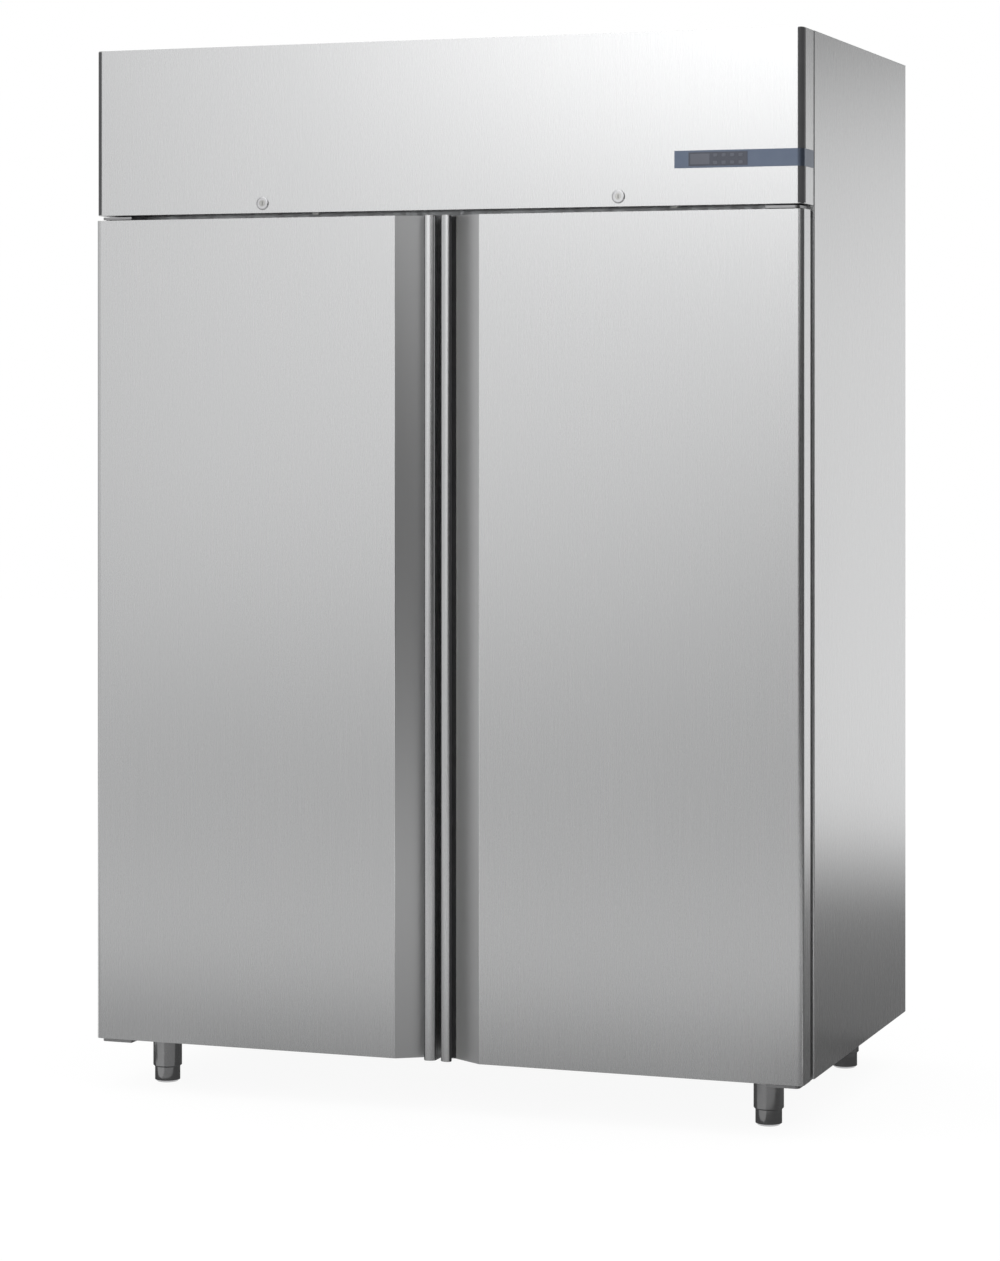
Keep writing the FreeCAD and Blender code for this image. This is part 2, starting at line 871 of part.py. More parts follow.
def doors():
    # The section of the door, with the handle channel folded into its meeting edge
    edge = meeting_edge
    section = doc.addObject("Sketcher::SketchObject", "door_section")
    outline(section, [
        (half, front, s.door_edge_radius),
        (half, front + s.door_return),
        (edge, front + s.door_return),
        (edge, front, s.lip_edge_radius),
        (edge + s.lip_width, front, s.lip_rounding),
        (edge + s.lip_width, front + s.lip_thickness, s.lip_rounding),
        (edge + s.grip_wall, front + s.lip_thickness),
        (edge + s.grip_wall, front + s.grip_depth),
        (edge + s.grip_floor, front + s.grip_depth),
        (edge + s.grip_width, front, s.lip_rounding),
    ])
    doc.recompute()

    skin_outside = extruded_sketch("skin_outside", section, door_bottom, door_top)
    skin_inside = extruded_sketch("skin_inside", inset_outline("skin_inset", section, sheet_metal),
                                  door_bottom + sheet_metal, door_top - sheet_metal)
    rim = s.door_rear_rim
    rear = front + s.door_return
    rear_opening = block("skin_rear_opening", (edge + rim, half - rim),
                         (rear - sheet_metal, rear + sheet_metal),
                         (door_bottom + rim, door_top - rim))
    drop = s.lock_lift + s.door_gap
    skin_keeper = cam_slot("skin_keeper", drop, door_top - s.keeper_depth, door_top + sheet_metal)
    pair("door_skin", cut("right_door_skin", skin_outside, skin_inside, rear_opening, skin_keeper,
                          *hinge_blocks("skin_recess", s.bush_fit, sheet_metal)))

    gap = sheet_metal + s.foam_clearance
    foam_section = extruded_sketch("foam_section", inset_outline("foam_inset", section, gap),
                                   door_bottom + gap, door_top - gap)
    foam_rim = rim + s.foam_clearance
    foam_rear = front + s.door_thickness - s.door_liner_sheet - s.foam_clearance
    foam_back = block("foam_back", (edge + foam_rim, half - foam_rim),
                      (front + s.grip_depth + gap, foam_rear),
                      (door_bottom + foam_rim, door_top - foam_rim))
    field = s.door_liner_inset + s.door_field_border
    foam_field_rim = field + s.door_liner_sheet + s.foam_clearance
    foam_field = prism("foam_field", "y", rectangle(
        (edge + foam_field_rim, half - foam_field_rim),
        (door_bottom + foam_field_rim, door_top - foam_field_rim), s.door_field_corner),
        front + s.grip_depth + gap, foam_rear + s.door_field_rise)
    foam_keeper = cam_slot("foam_keeper", drop, door_top - s.keeper_depth, door_top + sheet_metal)
    foam_solid = fuse("door_foam_solid", foam_section, foam_back, foam_field)
    pair("door_foam", cut("right_door_foam", foam_solid, foam_keeper,
                          *hinge_blocks("foam_recess", s.bush_fit, sheet_metal)))

    def tray(name, skin, start):
        # Counter door with its raised field, inset by the thickness of its own sheet
        rear_face = front + s.door_thickness - skin
        wall = s.door_liner_inset + skin
        flat = block(name + "_flat", (edge + wall, half - wall), (start, rear_face),
                     (door_bottom + wall, door_top - wall))
        raised = prism(name + "_raised", "y", rectangle(
            (edge + field + skin, half - field - skin),
            (door_bottom + field + skin, door_top - field - skin), s.door_field_corner),
            start, rear_face + s.door_field_rise)
        return fuse(name, flat, raised)

    pair("door_liner", cut("right_door_liner", tray("liner_tray", as_size(0), rear),
                           tray("liner_hollow", s.door_liner_sheet, rear - sheet_metal)))

    gasket = new_body("right_door_gasket")
    gasket_start = front + s.door_thickness
    head = s.gasket_depth - s.gasket_base - s.gasket_neck - s.gasket_clearance
    neck_inset = (s.gasket_width - s.gasket_neck_width) / 2
    layers = ((s.gasket_base, as_size(0)), (s.gasket_neck, neck_inset), (head, as_size(0)))
    for depth, inset in layers:
        outer = s.gasket_inset + inset
        inner = s.gasket_inset + s.gasket_width - inset
        ring = prism_sketch(gasket, "y", rectangle(
            (edge + outer, half - outer), (door_bottom + outer, door_top - outer)),
            gasket_start, gasket_start + depth)
        outline(ring, rectangle(
            (edge + inner, half - inner), (door_bottom + inner, door_top - inner)))
        pad(gasket, ring, depth)
        gasket_start = gasket_start + depth
    pair("door_gasket", gasket)

    bore = rod("bush_bore", s.pin_diameter + 2 * s.pin_clearance, (pivot_x, pivot_y, door_bottom),
               door_top - door_bottom)
    bushes = group("bush_blocks", *hinge_blocks("bush", as_size(0), as_size(0)))
    pair("door_bushes", cut("right_door_bushes", bushes, bore))


def header():
    def shell(name, inset, rear, low, high):
        side = header_half - inset
        return prism(name, "z", [
            (-side, rear),
            (-side, header_front + inset, s.header_radius - inset),
            (side, header_front + inset, s.header_radius - inset),
            (side, rear),
        ], low, high)

    outside = shell("header_outside", as_size(0), header_rear, header_bottom, top)
    inside = shell("header_inside", sheet_metal, header_rear + s.header_radius,
                   header_bottom + sheet_metal, cover_level)
    inner_half = header_half - sheet_metal
    floor_edge = body_front - s.hinge_plate - s.header_floor_gap
    floor_trim = block("header_floor_trim", (-inner_half, inner_half),
                       (floor_edge, header_rear + s.header_radius),
                       (header_bottom - sheet_metal, header_bottom + sheet_metal))
    lock_hole = rod("lock_hole", s.lock_diameter + 2 * s.lock_fit,
                    (door_middle, header_front - s.lock_projection, lock_z),
                    s.lock_barrel_length, "y")
    slot = cam_slot("header_cam_slot", s.lock_lift - sheet_metal,
                    header_bottom - sheet_metal, header_bottom + 2 * sheet_metal)
    openings = (floor_trim, lock_hole, mirrored("left_lock_hole", lock_hole),
                slot, mirrored("left_header_cam_slot", slot))
    panel = cut("header_shell", outside, inside, *openings)

    reach = s.header_pivot_inset - sheet_metal
    ear_plate = block("ear_plate", (ear_inner, ear_inner + s.header_ear),
                      (header_pivot_y - reach, header_pivot_y + reach),
                      (header_pivot_z - reach, cover_level))
    ear_hole = rod("ear_hole", s.header_pin_diameter + 2 * s.pin_clearance,
                   (ear_inner - s.header_ear, header_pivot_y, header_pivot_z),
                   3 * s.header_ear, "x")
    ear = cut("header_ear", ear_plate, ear_hole)
    sub_part("header_panel", fuse("header_panel", panel, ear, mirrored("left_header_ear", ear)))

    # Arms on the cabinet reach up to the pivots; the header's top edge swings round their heads
    half_arm = s.header_arm_half_width
    arm_outer = ear_inner - s.header_arm_gap
    arm = prism("header_arm", "x", [
        (body_front, header_pivot_z - s.header_arm_foot),
        (header_pivot_y - half_arm, header_pivot_z - s.header_arm_foot),
        (header_pivot_y - half_arm, header_pivot_z + half_arm - s.header_arm_cut),
        (header_pivot_y - half_arm + s.header_arm_cut, header_pivot_z + half_arm),
        (header_pivot_y + half_arm - s.header_arm_cut, header_pivot_z + half_arm),
        (header_pivot_y + half_arm, header_pivot_z + half_arm - s.header_arm_cut),
        (header_pivot_y + half_arm, header_pivot_z - s.header_arm_fall / 2),
        (body_front, header_pivot_z - s.header_arm_fall),
    ], arm_outer - s.header_arm, arm_outer)
    pin = rod("header_pin", s.header_pin_diameter,
              (arm_outer - s.header_arm, header_pivot_y, header_pivot_z),
              s.header_arm + s.header_arm_gap + s.header_ear + s.header_arm_gap / 2, "x")
    both_sides("header_pivots", fuse("right_header_pivot", arm, pin))


def controller_box(middle, height, face):
    # Case behind the display, with a row of plug-in connectors in its rear cover
    left = middle - s.controller_length / 2
    right = middle + s.controller_length / 2
    low = height - s.controller_height / 2
    high = height + s.controller_height / 2
    rear = face + s.controller_depth
    step = rear - s.controller_cover
    case = prism("controller_box", "y", rectangle((left, right), (low, high), s.controller_corner),
                 face, step)
    inset = s.controller_cover_inset
    cover = prism_sketch(case, "y", rectangle(
        (left + inset, right - inset), (low + inset, high - inset), s.controller_corner), step, rear)
    pad(case, cover, s.controller_cover)
    first = left + 2 * inset
    row = right - 2 * inset - first
    sill = low + inset + s.connector_lift
    socket = prism_sketch(case, "y", rectangle(
        (first, first + s.connector_width), (sill, sill + s.connector_height)),
        rear - s.connector_depth, rear)
    opening = pocket(case, socket, s.connector_depth, reverse=True)
    repeat(case, opening, "X_Axis", row - s.connector_width, s.connectors)
    sub_part("controller_box", case)


def control_strip():
    near = s.strip_clearance
    far = s.strip_clearance + s.strip_thickness
    start = header_half - s.strip_length
    strip_bottom = header_bottom + s.strip_lift
    strip_top = strip_bottom + s.strip_height
    sub_part("control_strip", prism("control_strip", "z", [
        (start, header_front - far),
        (header_half + far, header_front - far, s.header_radius + far),
        (header_half + far, header_rear),
        (header_half + near, header_rear),
        (header_half + near, header_front - near, s.header_radius + near),
        (start, header_front - near),
    ], strip_bottom, strip_top))

    window_start = start + s.window_start
    face = header_front - far
    sub_part("display_window", block(
        "display_window", (window_start, window_start + s.window_length),
        (face - s.window_thickness, face),
        (strip_bottom + s.window_border, strip_top - s.window_border)))

    middle = window_start + s.window_length / 2
    height = (strip_bottom + strip_top) / 2
    controller_box(middle, height, header_front + sheet_metal)

    # The contact's ends slope, so that the door's top edge rides over them
    contact_left = door_middle + s.contact_offset - s.contact_length / 2
    contact_right = contact_left + s.contact_length
    contact_low = header_bottom - s.contact_drop
    contact_y = header_front + s.contact_setback
    contact = prism("right_door_contact", "y", [
        (contact_left, header_bottom),
        (contact_left + s.contact_slope, contact_low),
        (contact_right - s.contact_slope, contact_low),
        (contact_right, header_bottom),
    ], contact_y, contact_y + s.contact_width)
    left_contact = copy_at("left_door_contact", contact, x=-(2 * door_middle))
    sub_part("door_contacts", group("door_contacts", contact, left_contact))


def locks():
    face = header_front - s.lock_projection
    length = s.lock_projection + s.lock_barrel_length
    tube = rod("lock_tube", s.lock_diameter, (door_middle, face, lock_z), length, "y")
    bore = rod("lock_bore", s.plug_diameter + 2 * s.plug_clearance,
               (door_middle, face - length, lock_z), 3 * length, "y")
    both_sides("lock_barrels", cut("right_lock_barrel", tube, bore))

    plug_face = face + s.plug_recess
    core = rod("plug_core", s.plug_diameter, (door_middle, plug_face, lock_z),
               cam_front - plug_face, "y")
    cam_half = s.cam_width / 2
    cam = prism("plug_cam", "y", [
        (door_middle - cam_half, lock_z - cam_half),
        (door_middle + s.cam_reach, lock_z - cam_half, s.cam_corner),
        (door_middle + s.cam_reach, lock_z + cam_half, s.cam_corner),
        (door_middle - cam_half, lock_z + cam_half),
    ], cam_front, cam_front + s.cam_thickness)
    keyway = block("keyway", (door_middle - s.keyway_width / 2, door_middle + s.keyway_width / 2),
                   (plug_face - s.keyway_depth, plug_face + s.keyway_depth),
                   (lock_z - s.keyway_height / 2, lock_z + s.keyway_height / 2))
    pair("lock_plug", cut("right_lock_plug", fuse("plug_solid", core, cam), keyway))


def shelving():
    # A channel on the right wall, mirrored to the mullion, the back and the left half
    wall = room_half
    web = room_half - s.upright_depth
    start = body_front + s.upright_setback
    end = start + s.upright_width
    skin = s.upright_sheet
    foot = room_floor + s.liner_corner
    upright = prism("upright", "z", [
        (wall, start), (web, start), (web, end), (wall, end),
        (wall, end - skin), (web + skin, end - skin), (web + skin, start + skin), (wall, start + skin),
    ], foot, foot + s.upright_height)
    middle = (start + end) / 2
    slot_bottom = foot + s.upright_slot_lift
    slot = prism_sketch(upright, "x", rectangle(
        (middle - s.upright_slot_width / 2, middle + s.upright_slot_width / 2),
        (slot_bottom, slot_bottom + s.upright_slot_height)), web, wall)
    notch = pocket(upright, slot, s.upright_depth / 2, reverse=True)
    repeat(upright, notch, "Z_Axis", (s.upright_slots - 1) * s.upright_slot_pitch, s.upright_slots)
    half_room = (room_half + mullion_half) / 2
    front_pair = group("front_uprights", upright, mirrored("inner_upright", upright, "x", half_room))
    rear_pair = mirrored("rear_uprights", front_pair, "y", (start + room_back) / 2)
    both_sides("rack_uprights", group("right_uprights", front_pair, rear_pair))

    ledge_bottom = room_floor + s.shelf_first_level
    ledge_top = ledge_bottom + s.runner_sheet
    runner = prism("runner", "y", [
        (web, ledge_bottom),
        (web, ledge_bottom + s.runner_height),
        (web - s.runner_sheet, ledge_bottom + s.runner_height),
        (web - s.runner_sheet, ledge_top),
        (web - s.runner_ledge, ledge_top),
        (web - s.runner_ledge, ledge_bottom),
    ], start, room_back)
    runners = group("runner_pair", runner, mirrored("inner_runner", runner, "x", half_room))

    shelf_right = web - s.runner_sheet - s.shelf_clearance
    shelf_left = 2 * half_room - shelf_right
    shelf_rear = room_back - s.shelf_rear_gap
    bar = s.shelf_bar
    wire = s.shelf_wire
    wire_bottom = ledge_top + (bar - wire) / 2
    rim = new_body("shelf_rim")
    frame = prism_sketch(rim, "z", rectangle((shelf_left, shelf_right), (start, shelf_rear)),
                         ledge_top, ledge_top + bar)
    outline(frame, rectangle((shelf_left + bar, shelf_right - bar), (start + bar, shelf_rear - bar)))
    pad(rim, frame, bar)
    half_depth = (start + shelf_rear) / 2
    cross = block("shelf_cross_bar", (shelf_left + bar, shelf_right - bar),
                  (half_depth - bar / 2, half_depth + bar / 2), (ledge_top, wire_bottom))
    pitch = (shelf_right - shelf_left - 2 * bar - wire) / (s.shelf_wires + 1)
    wires = []
    for index in range(int(s.shelf_wires.value)):
        wire_x = shelf_left + bar + (index + 1) * pitch
        wires.append(block(f"shelf_wire_{index + 1}", (wire_x, wire_x + wire),
                           (start + bar, shelf_rear - bar), (wire_bottom, wire_bottom + wire)))
    shelf = fuse("shelf", rim, cross, *wires)

    shelf_copies = []
    runner_copies = []
    for level in range(int(s.shelf_levels.value)):
        rise = level * s.shelf_spacing
        shelf_copies.append(copy_at(f"shelf_at_level_{level + 1}", shelf, z=rise))
        runner_copies.append(copy_at(f"runners_at_level_{level + 1}", runners, z=rise))
    pair("shelves", group("right_shelves", *shelf_copies))
    both_sides("shelf_runners", group("right_runners", *runner_copies))

    lamp_front = body_front + s.mullion_depth + s.lamp_setback
    lamp_rear = lamp_front + s.lamp_depth
    lamp_bottom = room_ceiling - s.lamp_height

    def lamp_section(edge):
        return [
            (lamp_front - edge, room_ceiling),
            (lamp_front + s.lamp_slope - edge, lamp_bottom - edge, s.lamp_rounding),
            (lamp_rear - s.lamp_slope + edge, lamp_bottom - edge, s.lamp_rounding),
            (lamp_rear + edge, room_ceiling),
        ]

    lamp_left = half_room - s.lamp_length / 2
    lamp_right = half_room + s.lamp_length / 2
    lamp = prism("right_lamp", "x", lamp_section(as_size(0)), lamp_left, lamp_right)
    for cap_left in (lamp_left, lamp_right - s.lamp_cap):
        cap = prism_sketch(lamp, "x", lamp_section(s.lamp_cap_edge), cap_left, cap_left + s.lamp_cap)
        pad(lamp, cap, s.lamp_cap)
    both_sides("interior_lamps", lamp)


fan_turns = {1: Rotation(Vector(1, 0, 0), -90), -1: Rotation(Vector(1, 0, 0), 90)}


def fan_set(name, diameter, x, y, z, heading):
    # Guard, motor and fan in a row along Y from the guard's outer face, heading 1 or -1
    def set_down(body, along):
        body.Placement = Placement(Vector(), fan_turns[heading])
        place(body, x, y + heading * along, z)
        return body

    rim = diameter + 2 * s.fan_tip_clearance + 2 * s.guard_overlap
    tip = rim / 2 - s.guard_bar / 2
    side = s.guard_bar / 2
    guard = new_body(name + "_guard")
    ring = sketch_on(guard, "XY_Plane")
    circle(ring, rim)
    circle(ring, rim - 2 * s.guard_bar)
    pad(guard, ring, s.guard_bar)
    spokes = sketch_on(guard, "XY_Plane")
    outline(spokes, [
        (tip, -side), (tip, side), (side, side), (side, tip), (-side, tip), (-side, side),
        (-tip, side), (-tip, -side), (-side, -side), (-side, -tip), (side, -tip), (side, -side),
    ])
    pad(guard, spokes, s.guard_bar)
    set_down(guard, as_size(0))

    motor_radius = s.motor_diameter / 2
    boss_radius = s.motor_boss_diameter / 2
    shoulder = s.motor_length - s.motor_shoulder
    motor = revolved(name + "_motor", [
        (0, 0),
        (motor_radius, 0),
        (motor_radius, shoulder - s.motor_chamfer),
        (motor_radius - s.motor_chamfer, shoulder),
        (boss_radius, shoulder),
        (boss_radius, s.motor_length),
        (0, s.motor_length),
    ])
    set_down(motor, s.guard_bar)

    fan = new_body(name)
    hub = sketch_on(fan, "XY_Plane")
    circle(hub, s.fan_hub_diameter)
    pad(fan, hub, s.fan_hub_length)
    blade_ends = (
        (s.fan_hub_diameter / 2 - s.fan_root_bite, s.fan_root_chord, s.fan_root_angle),
        (diameter / 2, s.fan_tip_chord, s.fan_tip_angle),
    )
    sections = []
    for radius, chord, angle in blade_ends:
        section = sketch_on(fan, "YZ_Plane", radius)
        turn = Rotation(Vector(0, 0, 1), angle.value)
        section.AttachmentOffset = Placement(section.AttachmentOffset.Base, turn)
        bind(section, "AttachmentOffset.Base.y", s.fan_hub_length / 2)
        skin = s.fan_blade_sheet / 2
        outline(section, rectangle((-(chord / 2), chord / 2), (-skin, skin)))
        sections.append(section)
    blade = fan.newObject("PartDesign::AdditiveLoft", name + "_blade")
    blade.Profile = sections[0]
    blade.Sections = [sections[1]]
    blade.Ruled = True
    blades = fan.newObject("PartDesign::PolarPattern", name + "_blades")
    blades.Originals = [blade]
    blades.Axis = (origin_feature(fan, "Z_Axis"), [""])
    blades.Angle = 360
    bind(blades, "Occurrences", s.fan_blades)
    fan.Tip = blades
    set_down(fan, s.guard_bar + s.motor_length + s.fan_gap)
    return guard, motor, fan


def finned_coil(name, x, y, z):
    # Block with a row of fin gaps cut into its front and its back
    coil = prism(name, "z", rectangle(x, y), z[0], z[1])
    first = x[0] + s.fin_pitch
    gap = (first, first + s.fin_slot)
    sketch = prism_sketch(coil, "z", rectangle(gap, (y[0], y[0] + s.fin_slot_depth)), z[0], z[1])
    outline(sketch, rectangle(gap, (y[1] - s.fin_slot_depth, y[1])))
    cuts = pocket(coil, sketch, z[1] - z[0], reverse=True)
    count = int((x[1].value - x[0].value) / s.fin_pitch.value) - 2
    repeat(coil, cuts, "X_Axis", s.fin_pitch * (count - 1), as_size(count))
    return coil


def evaporator():
    cover_half = s.evaporator_width / 2
    rear = room_back - s.evaporator_rear_gap
    face = rear - s.evaporator_depth
    bottom = room_ceiling - s.evaporator_height

    def tray(name, skin, overshoot):
        return prism(name, "x", [
            (face + skin, room_ceiling + overshoot),
            (face + skin, bottom + s.tray_fall + skin),
            (rear + overshoot, bottom + skin),
            (rear + overshoot, room_ceiling + overshoot),
        ], -(cover_half - skin), cover_half - skin)

    fan_x = s.evaporator_fan_spacing / 2
    fan_z = (room_ceiling + bottom + s.tray_fall) / 2
    opening = s.evaporator_fan_diameter + 2 * s.fan_tip_clearance
    hole = rod("evaporator_fan_hole", opening, (fan_x, face - opening / 2, fan_z), opening, "y")
    sub_part("evaporator_cover", cut(
        "evaporator_cover", tray("cover_outside", as_size(0), as_size(0)),
        tray("cover_inside", sheet_metal, sheet_metal), hole, mirrored("left_fan_hole", hole)))

    coil_half = cover_half - s.evaporator_coil_margin
    coil_y = (face + s.evaporator_coil_setback, rear - s.evaporator_coil_margin)
    sub_part("evaporator_coil", finned_coil(
        "evaporator_coil", (-coil_half, coil_half), coil_y,
        (room_ceiling - s.evaporator_coil_height, room_ceiling)))

    guard_y = face - s.guard_bar - s.guard_clearance
    guard, motor, fan = fan_set("right_evaporator_fan", s.evaporator_fan_diameter,
                                fan_x, guard_y, fan_z, 1)
    both_sides("evaporator_fan_guards", guard)
    both_sides("evaporator_fan_motors", motor)
    pair("evaporator_fan", fan)


def swept_pipe(points, radius, bend):
    # Tube through straight runs; each bend is a row of short cones between rings
    rings = []
    side = (points[1] - points[0]).cross(points[2] - points[1])

    def ring(centre, tangent):
        # Every ring starts on the side that the one before it started on
        nonlocal side
        side = (side - tangent * side.dot(tangent)).normalize()
        loop = Part.Circle(centre, tangent, radius)
        loop.XAxis = side
        rings.append(Part.Wire(loop.toShape()))

    ring(points[0], unit(points[0], points[1]))
    for index in range(1, len(points) - 1):
        arriving, middle, leaving = corner_cut(points, index, bend)
        before = unit(points[index - 1], points[index])
        after = unit(points[index], points[index + 1])
        ring(arriving, before)
        ring(middle, (before + after).normalize())
        ring(leaving, after)
    ring(points[-1], unit(points[-2], points[-1]))
    return Part.makeLoft(rings, True, True)


def condensing_unit():
    left = -s.condenser_place - s.condenser_width / 2
    right = -s.condenser_place + s.condenser_width / 2
    coil_front = body_front + s.condenser_setback
    coil_back = coil_front + s.condenser_depth
    coil_top = deck_top + s.condenser_height
    coil_middle = (coil_front + coil_back) / 2
    sub_part("condenser_coil", finned_coil("condenser_coil", (left, right), (coil_front, coil_back),
                                           (deck_top, coil_top)))
    shroud_back = coil_back + s.shroud_depth
    fan_x = -s.condenser_place
    fan_z = (deck_top + coil_top) / 2
    opening = s.condenser_fan_diameter + 2 * s.fan_tip_clearance
    shroud = block("shroud_block", (left, right), (coil_back, shroud_back), (deck_top, coil_top))
    hollow = block("shroud_hollow", (left + sheet_metal, right - sheet_metal),
                   (coil_back - sheet_metal, shroud_back - sheet_metal),
                   (deck_top + sheet_metal, coil_top - sheet_metal))
    hole = rod("shroud_hole", opening, (fan_x, shroud_back - s.shroud_depth / 2, fan_z),
               s.shroud_depth, "y")
    sub_part("condenser_fan_shroud", cut("condenser_fan_shroud", shroud, hollow, hole))
    guard_y = shroud_back + s.guard_clearance + s.guard_bar
    guard, motor, fan = fan_set("condenser_fan", s.condenser_fan_diameter, fan_x, guard_y, fan_z, -1)
    sub_part("condenser_fan_guard", guard)
    sub_part("condenser_fan_motor", motor)
    sub_part("condenser_fan", fan)

    # The compressor stands level with the middle of the coil, so its hot line runs straight
    compressor_x = s.compressor_place
    compressor_radius = s.compressor_diameter / 2
    plate_low = deck_top + s.compressor_foot_height
    plate_high = plate_low + s.compressor_plate
    dome = plate_high + s.compressor_height
    shell = revolved("compressor_shell", [
        (0, plate_high),
        (compressor_radius - s.compressor_chamfer, plate_high),
        (compressor_radius, plate_high + s.compressor_chamfer),
        (compressor_radius, dome - s.compressor_dome),
        (compressor_radius - s.compressor_chamfer, dome - s.compressor_chamfer),
        (compressor_radius - s.compressor_dome, dome),
        (0, dome),
    ])
    place(shell, compressor_x, coil_middle, 0)
    plate_x = s.compressor_plate_width / 2
    plate_y = s.compressor_plate_depth / 2
    pieces = [shell, block("compressor_base_plate", (compressor_x - plate_x, compressor_x + plate_x),
                           (coil_middle - plate_y, coil_middle + plate_y), (plate_low, plate_high))]
    foot = s.compressor_foot
    for foot_x in (compressor_x - plate_x, compressor_x + plate_x - foot):
        for foot_y in (coil_middle - plate_y, coil_middle + plate_y - foot):
            pieces.append(block("compressor_foot_block", (foot_x, foot_x + foot),
                                (foot_y, foot_y + foot), (deck_top, plate_low)))
    sub_part("compressor", fuse("compressor", *pieces))

    low_level = deck_top + s.drier_lift
    high_level = deck_top + s.pipe_level
    drier_start = right + s.drier_gap
    drier_end = drier_start + s.drier_length
    drier = revolved("filter_drier", [
        (0, 0),
        (s.pipe_diameter / 2, 0),
        (s.drier_diameter / 2, s.drier_taper),
        (s.drier_diameter / 2, s.drier_length - s.drier_taper),
        (s.pipe_diameter / 2, s.drier_length),
        (0, s.drier_length),
    ])
    drier.Placement = Placement(Vector(), axis_turns["x"])
    place(drier, drier_start, coil_middle, low_level)
    sub_part("filter_drier", drier)

    hot_line = rod("hot_line", s.pipe_diameter, (right, coil_middle, high_level),
                   compressor_x - compressor_radius - right, "x")
    drier_inlet = rod("drier_inlet", s.pipe_diameter, (right, coil_middle, low_level),
                      s.drier_gap, "x")
    routes = {
        "liquid_line": ((drier_end, coil_middle, low_level), (liquid_x, coil_middle, low_level),
                        (liquid_x, pipe_y, low_level), (liquid_x, pipe_y, room_ceiling)),
        "suction_line": ((suction_x, coil_middle + compressor_radius, high_level),
                         (suction_x, pipe_y, high_level), (suction_x, pipe_y, room_ceiling)),
    }
    lines = [hot_line, drier_inlet]
    for name, route in routes.items():
        points = [Vector(*(size.value for size in point)) for point in route]
        line = doc.addObject("Part::Feature", name)
        line.Shape = swept_pipe(points, s.pipe_diameter.value / 2, s.pipe_bend.value)
        lines.append(line)
    sub_part("refrigerant_pipes", group("refrigerant_pipes", *lines))



def electrical_box():
    # Moulded case with its lid to the front, a groove between them, and two cable entries
    right = half - sheet_metal - s.electrical_side_gap
    left = right - s.electrical_width
    high = deck_top + s.electrical_height
    face = body_front + s.electrical_setback
    rear = face + s.electrical_depth
    lid_back = face + s.electrical_lid
    seam_back = lid_back + s.electrical_seam

    def section(inset):
        return rectangle((left + inset, right - inset), (deck_top + inset, high - inset),
                         s.electrical_corner - inset)

    case = prism("electrical_case", "y", section(as_size(0)), seam_back, rear)
    pad(case, prism_sketch(case, "y", section(s.electrical_seam), lid_back, seam_back),
        s.electrical_seam)
    pad(case, prism_sketch(case, "y", section(as_size(0)), face, lid_back), s.electrical_lid)
    entries = []
    for index, share in enumerate((1, 2), start=1):
        entry_y = seam_back + share * (rear - seam_back) / 3
        entries.append(rod(f"cable_entry_{index}", s.cable_entry_diameter,
                           (left - s.cable_entry_reach, entry_y, deck_top + s.cable_entry_lift),
                           2 * s.cable_entry_reach, "x"))
    sub_part("electrical_box", fuse("electrical_box", case, *entries))


cabinet_shell()
top_cover()
machine_deck()
rear_grille()
cable_gland()
legs()
door_hinges()
doors()
header()
control_strip()
locks()
shelving()
evaporator()
condensing_unit()
electrical_box()
doc.recompute()

failed = [thing.Name for thing in doc.Objects if {"Invalid", "Error"} & set(thing.State)]
for piece in sub_parts:
    if piece.Shape.isNull() or not piece.Shape.isValid() or not piece.Shape.Solids:
        failed.append(piece.Label)
if failed:
    raise RuntimeError("these did not build: " + ", ".join(failed))

os.makedirs("parts", exist_ok=True)
for piece in sub_parts:
    piece.Shape.exportStep(f"parts/{piece.Label}.step")
print(len(sub_parts), "sub-parts written")
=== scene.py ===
import json
import math

import bmesh
import bpy
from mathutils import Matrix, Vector


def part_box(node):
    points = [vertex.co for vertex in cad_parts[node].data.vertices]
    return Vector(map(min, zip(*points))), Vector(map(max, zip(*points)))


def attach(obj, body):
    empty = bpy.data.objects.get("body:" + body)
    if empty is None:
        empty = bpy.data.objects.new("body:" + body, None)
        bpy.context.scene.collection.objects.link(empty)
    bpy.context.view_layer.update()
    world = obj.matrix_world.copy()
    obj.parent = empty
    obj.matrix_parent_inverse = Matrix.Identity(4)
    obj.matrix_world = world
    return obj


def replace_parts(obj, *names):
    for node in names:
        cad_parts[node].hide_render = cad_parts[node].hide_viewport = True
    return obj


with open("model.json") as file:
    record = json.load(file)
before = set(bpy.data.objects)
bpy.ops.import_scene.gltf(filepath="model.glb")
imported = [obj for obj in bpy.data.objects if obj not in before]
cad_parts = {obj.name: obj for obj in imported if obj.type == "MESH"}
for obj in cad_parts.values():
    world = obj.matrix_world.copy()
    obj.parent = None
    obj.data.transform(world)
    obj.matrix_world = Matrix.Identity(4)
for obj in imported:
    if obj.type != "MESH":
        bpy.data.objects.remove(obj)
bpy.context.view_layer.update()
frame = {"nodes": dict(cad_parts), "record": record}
nodes = frame["nodes"]
mm = 0.001
print("frame loaded:", len(nodes), "nodes")


# stage: camera, floor, soft light and the cards that the steel reflects

